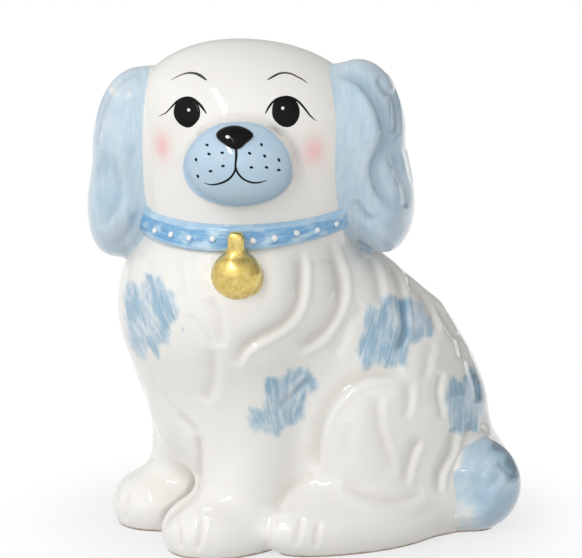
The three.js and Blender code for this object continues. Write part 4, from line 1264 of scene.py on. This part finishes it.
def make_collar_dots():
    shown = under_pixels(lambda x, y, z: neck_band(x, y, z) - COLLAR_RELIEF, COLLAR_DOTS)
    shown_angles = np.arctan2(shown[:, 0], -shown[:, 1])
    rises = shown[:, 2] - collar_plane(shown[:, 0], shown[:, 1])
    shown_points = collar_points(shown_angles, rises, COLLAR_RELIEF)
    fine = np.linspace(shown_angles.max(), shown_angles.min() + 2 * math.pi, 400)
    line = collar_points(fine, 0, COLLAR_RELIEF)
    lengths = np.concatenate([[0], np.cumsum(np.linalg.norm(np.diff(line, axis=0), axis=1))])
    count = int(lengths[-1] / DOT_PITCH)
    steps = np.interp(np.arange(1, count) * lengths[-1] / count, lengths, fine)
    rest = collar_points(steps, 0, COLLAR_RELIEF)
    under_ear = np.minimum(ear_field(1)(*rest.T), ear_field(-1)(*rest.T)) < 2
    every = np.vstack([shown_points, rest[~under_ear]])
    normals = outward(neck_band, every)
    along = np.cross(normals, [0.0, 0.0, 1.0])
    wander = np.random.default_rng(5).uniform(-STUD_WANDER, STUD_WANDER, (len(every), 2))
    studs = settle(neck_band, every + along * wander[:, :1] - (0, 0, STUD_DROP), COLLAR_RELIEF - 0.1)
    studs = zip(studs, normals)
    domes("collar_studs", studs, STUD_RADIUS, STUD_HEIGHT, collar_blue, "blue_glaze", collar_values)
    dots = zip(every + normals * DOT_LIFT, normals)
    domes("collar_dots", dots, DOT_RADIUS, DOT_HEIGHT, white_dot, "white_glaze")


def collar_values(points):
    x, y, z = points.T
    angles = np.arctan2(x, -y)
    return {"stroke": np.stack([angles * 42, z - collar_plane(x, y), np.zeros(len(points))], -1)}


PENDANT_SHIFT = -0.7
PENDANT_DROP = 13.1
# Pixel place of the chest that the ball hangs against, and sizes of ball and bail in millimetres
PENDANT_PIXEL = (236, 275)
BALL_SIZE = (19.6, 16, 18.8)
BAIL_WIDTH, BAIL_DEPTH, BAIL_RISE, BAIL_SQUARENESS = 6.5, 5.5, 3.9, 3.6
PENDANT_VOXEL = 0.35


def make_pendant():
    collar_front = float(collar_points(np.zeros(1), 0, COLLAR_RELIEF)[0][1])
    collar_middle = collar_plane(PENDANT_SHIFT, collar_front)
    ball_height = collar_middle - PENDANT_DROP
    chest_front = float(under_pixels(dog_clay, [PENDANT_PIXEL])[0][1])
    front = min(chest_front, collar_front)
    bail_top = collar_middle + BAIL_RISE
    bail_bottom = ball_height + 6
    bail_middle = (PENDANT_SHIFT, front - 1, (bail_top + bail_bottom) / 2)
    bail = ellipsoid(bail_middle, (BAIL_WIDTH, BAIL_DEPTH, bail_top - bail_bottom), BAIL_SQUARENESS)
    ball = ellipsoid((PENDANT_SHIFT, front, ball_height), BALL_SIZE)

    def field(x, y, z):
        return smooth_min(ball(x, y, z), bail(x, y, z), 2.2)

    def carrier(x, y, z):
        band = np.maximum(neck_band(x, y, z) - COLLAR_RELIEF, np.abs(z - collar_plane(x, y)) - COLLAR_HALF)
        return np.minimum(dog_clay(x, y, z), band)

    shape = luted(field, blend=0.6, lap=0.2, reach=0.8, carrier=carrier, embed=1.2)
    low, high = (-14, front - 14, ball_height - 12), (13, front + 12, bail_top + 4)
    points, quads = clay_mesh(shape, low, high, PENDANT_VOXEL)
    piece("pendant_gilded", points, quads, gold, "gold_lustre", ["pendant"])


# Painted face: thin beads of black glaze that follow the clay

# Looks of thick paint: the material and its slot
BLACK = (black_glaze, "black_glaze")
WHITE = (white_dot, "white_glaze")

LINE_SPACING, LINE_LIFT = 0.8, 0.1


def brush_line(name, path, material):
    """A brush line through pixels, each with the line's width there in millimetres."""
    rows = smooth_path(path, LINE_SPACING)
    centre = settle(head_clay, under_pixels(head_clay, rows[:, :2]))
    normal = outward(head_clay, centre)
    along = np.gradient(centre, axis=0)
    side = np.cross(along, normal)
    side /= np.linalg.norm(side, axis=1)[:, None]
    section = [(-1.0, -0.06), (-0.62, 0.7 * LINE_LIFT), (0.0, LINE_LIFT), (0.62, 0.7 * LINE_LIFT)]
    section += [(1.0, -0.06), (0.0, -0.3)]
    rings = []
    for share, height in section:
        at = settle(head_clay, centre + side * (share * rows[:, 2:3] / 2))
        rings.append(at + outward(head_clay, at) * height)
    count = len(centre)
    points = np.vstack(rings)
    faces = []
    for row in range(len(section)):
        below = (row + 1) % len(section)
        faces += ring_quads(row * count, below * count, count, closed=False)
    faces.append(tuple(row * count for row in range(len(section))))
    faces.append(tuple(row * count + count - 1 for row in range(len(section)))[::-1])
    piece(name, points, faces, material, "black_glaze")


def raised_shape(name, outline, lift, fullness=2.0, field=head_clay, look=BLACK, replaced=(), sink=0.15):
    """A shape with a pixel outline that stands up from the clay like a cushion."""
    edge = closed_path(outline)
    centre = edge.mean(0)
    shares = [0.0, 0.2, 0.4, 0.56, 0.7, 0.81, 0.9, 0.96, 1.0]
    count = len(edge)
    rows = np.vstack([centre[None, :]] + [centre + (edge - centre) * share for share in shares[1:]] + [edge])
    heights = [lift] + [lift * (1 - share**fullness) ** (1 / fullness) for share in shares[1:] for _ in edge]
    heights = np.array(heights + [-sink] * count)
    at = settle(field, under_pixels(field, rows))
    points = at + outward(field, at) * heights[:, None]
    faces = [(0, 1 + (s + 1) % count, 1 + s) for s in range(count)]
    for ring in range(len(shares) - 1):
        faces += ring_quads(1 + ring * count, 1 + (ring + 1) * count, count)
    last = 1 + (len(shares) - 1) * count
    faces.append(tuple(last + s for s in range(count)))
    piece(name, points, faces, *look, replaced)


def oval(centre, radii, lean=0.0):
    """The outline of an oval, with its centre and radii in pixels."""
    turns = np.arange(10) / 10 * 2 * math.pi
    u, v = np.cos(turns) * radii[0], np.sin(turns) * radii[1]
    c, s = math.cos(lean), math.sin(lean)
    return np.stack([centre[0] + u * c - v * s, centre[1] + u * s + v * c], -1)


def white_spot(name, centre, radii, above, lift=0.16, lean=0.0):
    """A white oval dot of thick glaze, a height in millimetres above the clay."""

    def raised(x, y, z):
        return head_clay(x, y, z) - above

    raised_shape(name, oval(centre, radii, lean), lift, field=raised, look=WHITE)


RIGHT_EYE_OUTLINE = [
    (173.6, 113.5), (174.4, 106.5), (177.2, 101), (182, 98.2), (188, 98), (194, 100.6), (198.6, 105.6),
    (200.2, 111.5), (199.4, 118), (195.5, 123.6), (190.5, 127.2), (185, 127.2), (179.4, 124),
    (175.4, 119),
]
LEFT_EYE_OUTLINE = [
    (272, 112.5), (272.6, 105.5), (275.6, 100.6), (281, 97.6), (288, 97.2), (294.6, 100), (298.6, 105.4),
    (299.8, 112), (298.4, 118.8), (294.4, 124.4), (288.6, 127.2), (282, 126.4), (276.4, 122.4),
    (273, 117.8),
]
WHISKERS = [
    ((207, 145), 0.5), ((209, 154), 0.4), ((222.2, 152.8), -0.1), ((196, 159.6), 1.4), ((223, 166), -0.2),
    ((210.5, 171.2), 0), ((197.8, 176.2), 1.1), ((261.5, 144.6), 1.0), ((249.6, 153.3), 0.5),
    ((264.7, 156), 0.9), ((279, 160), 1.2), ((251.4, 167.4), 0.1), ((266.6, 167.4), 0.3),
    ((278.8, 170), 0),
]
# Brush lines of the face: pixel places, each with its width in millimetres
FACE_LINES = {
    "lid_right": [(159, 116.3, 0.2), (166, 112.6, 0.6), (172, 106.3, 0.9), (178, 100.6, 1.1),
                  (185, 97.7, 1.1), (192, 98.6, 1.25), (198.5, 103.2, 1.25), (203, 108.4, 1.05),
                  (206.5, 113.8, 0.4)],
    "lid_left": [(265.4, 113.6, 0.5), (268.6, 107.4, 0.95), (273, 102, 1.05), (279, 98.2, 1.1),
                 (287, 96.8, 1.15), (294, 98.8, 1.2), (300, 103, 1.1), (306, 110.2, 0.95),
                 (310.5, 116, 0.75), (316.5, 121, 0.2)],
    "brow_right": [(171.5, 79.8, 0.24), (178, 76.3, 0.66), (184, 73.8, 0.9), (190, 72.8, 1.14),
                   (196, 73.6, 1.32), (201, 76, 1.38), (206.6, 80.2, 0.6)],
    "brow_left": [(267.3, 79.9, 0.48), (273, 76.6, 1.08), (279, 73.6, 1.14), (285, 72.8, 1.14),
                  (291, 73.7, 1.02), (297, 76.5, 0.9), (303, 79.8, 0.72), (307.5, 83.2, 0.18)],
    "philtrum": [(236, 148, 1.15), (236.3, 156, 1.2), (235.6, 163, 0.95), (235.3, 169, 0.9)],
    "mouth_right": [(235.5, 165, 0.7), (234.8, 171, 0.95), (231, 177, 0.95), (225, 181.5, 1.0),
                    (217, 184.2, 0.9), (210, 184.6, 0.7), (204, 183, 0.2)],
    "mouth_left": [(235.5, 165, 0.7), (236.8, 171, 0.95), (241, 177, 0.95), (247, 181, 0.9),
                   (254, 182.8, 0.95), (261, 182.2, 0.7), (267, 180.2, 0.2)],
}
# Eyes: each one's outline, and its dot's pixel place and radius
EYES = {
    "right": (RIGHT_EYE_OUTLINE, (188.7, 110), 1.7),
    "left": (LEFT_EYE_OUTLINE, (282.8, 108.3), 1.8),
}
EYE_LIFT, EYE_FULLNESS, EYE_DOT_ABOVE = 0.5, 2.4, 0.42
WHISKER_RADII, WHISKER_LIFT = (1.9, 1.3), 0.16


def make_face():
    for side, (outline, _, _) in EYES.items():
        raised_shape(f"eye_{side}", outline, EYE_LIFT, EYE_FULLNESS)
    for side, (_, dot, radius) in EYES.items():
        white_spot(f"eye_dot_{side}", dot, (radius, radius), EYE_DOT_ABOVE)
    for name, rows in FACE_LINES.items():
        brush_line(name, rows, brow_paint if name.startswith("brow") else black_glaze)
    for number, (spot, lean) in enumerate(WHISKERS):
        raised_shape(f"whisker_dot_{number + 1}", oval(spot, WHISKER_RADII, lean), WHISKER_LIFT)


# Stopper: the CAD part has its true shape, so it only gets its finish


def dress_stopper():
    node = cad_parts["stopper"]
    node.data.materials.clear()
    node.data.materials.append(stopper_plastic)


# Studio

# Half the floor's width, in metres
FLOOR_REACH = 8.0
# Metres from the middle between which the floor turns from a shadowed to a plain white, and its share of
# white at the first of them. Nearer the middle less white shows: painted shade round the object, with its
# real shadow
FLOOR_FADE, FLOOR_WHITE = (0.055, 0.13), 0.68


def make_floor():
    r = FLOOR_REACH
    mesh = bpy.data.meshes.new("floor")
    mesh.from_pydata([(-r, -r, 0), (r, -r, 0), (r, r, 0), (-r, r, 0)], [], [(0, 1, 2, 3)])
    n = Material("studio_paper")
    place = n.place()
    grain = n.noise(place, 900.0, 2.0, 0.5)
    n.set(Base_Color=n.mix(grain, tone(216, 216, 217), tone(212, 212, 214)), Roughness=0.9)
    n.set(Specular_IOR_Level=0.1)
    x, y, _ = n.split(place)
    away = n.math("SQRT", n.math("ADD", n.math("MULTIPLY", x, x), n.math("MULTIPLY", y, y)))
    path = n.add("ShaderNodeLightPath").outputs
    seen = n.math("ADD", path["Is Camera Ray"], path["Is Glossy Ray"])
    seen = n.math("ADD", seen, path["Is Transmission Ray"], clamp=True)
    # Less white near the object: painted shade round it, on top of its real shadow
    share = n.math("MULTIPLY", seen, n.remap(away, *FLOOR_FADE, FLOOR_WHITE, 1.0))
    n.choose(share, n.shader.outputs["BSDF"], n.add("ShaderNodeEmission").outputs["Emission"])
    mesh.materials.append(n.material)
    in_scene("floor", mesh)


# The key lamp, in metres, watts and degrees
KEY_PLACE, KEY_TARGET = (-0.53, -1.22, 1.26), (0.0, 0.0, 0.1)
KEY_SIZE, KEY_POWER, KEY_ROLL = (0.12, 1.0), 6, 30
# The room's soft light: degrees from the front towards the right, degrees up, and strength
ROOM_LIGHTS = [
    (0, 14, 0.79), (45, 14, 0.5), (90, 14, 0.22), (135, 14, 0.12), (180, 14, 0.24), (225, 14, 0.34),
    (270, 14, 0.47), (315, 14, 0.74), (45, 53, 0.08), (135, 53, 0.12), (225, 53, 0.26), (315, 53, 0.2),
]
ROOM_COLOUR = (1.0, 0.995, 0.985, 1.0)
LIGHT_NARROWNESS = 3.0
# Cosines of the angles between which the white backdrop fades out, seen from the object
BACKDROP_EDGE = (0.95, 0.975)


def aimed(made, place, direction, roll=0.0):
    made.location = place
    made.rotation_mode = "QUATERNION"
    turn = Quaternion((0, 0, 1), math.radians(roll))
    made.rotation_quaternion = Vector(direction).to_track_quat("-Z", "Y") @ turn


def light_key():
    lamp = bpy.data.lights.new("key", "AREA")
    lamp.shape = "RECTANGLE"
    lamp.size, lamp.size_y = KEY_SIZE
    lamp.energy = KEY_POWER
    aimed(in_scene("key", lamp), KEY_PLACE, np.subtract(KEY_TARGET, KEY_PLACE), KEY_ROLL)


def light_room():
    """Soft light from all round, with a white backdrop that the camera and the gloss see."""
    world = bpy.data.worlds.new("studio")
    bpy.context.scene.world = world
    n = Nodes(world, "ShaderNodeOutputWorld")
    direction = n.add("ShaderNodeTexCoord").outputs["Generated"]
    strength = 0.0
    for turn, rise, power in ROOM_LIGHTS:
        turn, rise = math.radians(turn), math.radians(rise)
        aim = (math.sin(turn) * math.cos(rise), -math.cos(turn) * math.cos(rise), math.sin(rise))
        facing = n.math("MAXIMUM", n.dot(direction, aim))
        strength = n.math("MULTIPLY_ADD", n.math("POWER", facing, LIGHT_NARROWNESS), power, strength)
    room = n.add("ShaderNodeBackground")
    n.feed(room, "Color", ROOM_COLOUR)
    n.feed(room, "Strength", strength)
    white = n.add("ShaderNodeBackground")
    n.feed(white, "Color", (1.0, 1.0, 1.0, 1.0))
    backdrop = n.remap(n.dot(direction, tuple(-BACK)), *BACKDROP_EDGE, smooth=False)
    path = n.add("ShaderNodeLightPath").outputs
    seen = path["Is Camera Ray"]
    for kind in ("Is Glossy Ray", "Is Transmission Ray"):
        seen = n.math("MULTIPLY_ADD", path[kind], backdrop, seen, clamp=True)
    n.choose(seen, room.outputs["Background"], white.outputs["Background"])


SENSOR = 36


def make_camera():
    data = bpy.data.cameras.new("camera")
    data.sensor_width = SENSOR
    data.sensor_fit = "HORIZONTAL"
    data.lens = SENSOR * CAMERA_DISTANCE / (PHOTO_WIDTH * MM_PER_PIXEL)
    data.clip_start, data.clip_end = 0.1, 50
    camera = in_scene("camera", data)
    aimed(camera, (CAMERA_PLACE + ROW_SHIFT) * MM, -BACK)
    bpy.context.scene.camera = camera


bpy.context.scene.view_settings.view_transform = "Standard"
make_camera()
make_body()
make_head()
make_ear(1, "ear_left_glazed", "ear_left")
make_ear(-1, "ear_right_glazed", "ear_right")
make_tail()
make_nose()
make_collar()
make_collar_dots()
make_pendant()
make_face()
dress_stopper()
make_floor()
light_key()
light_room()
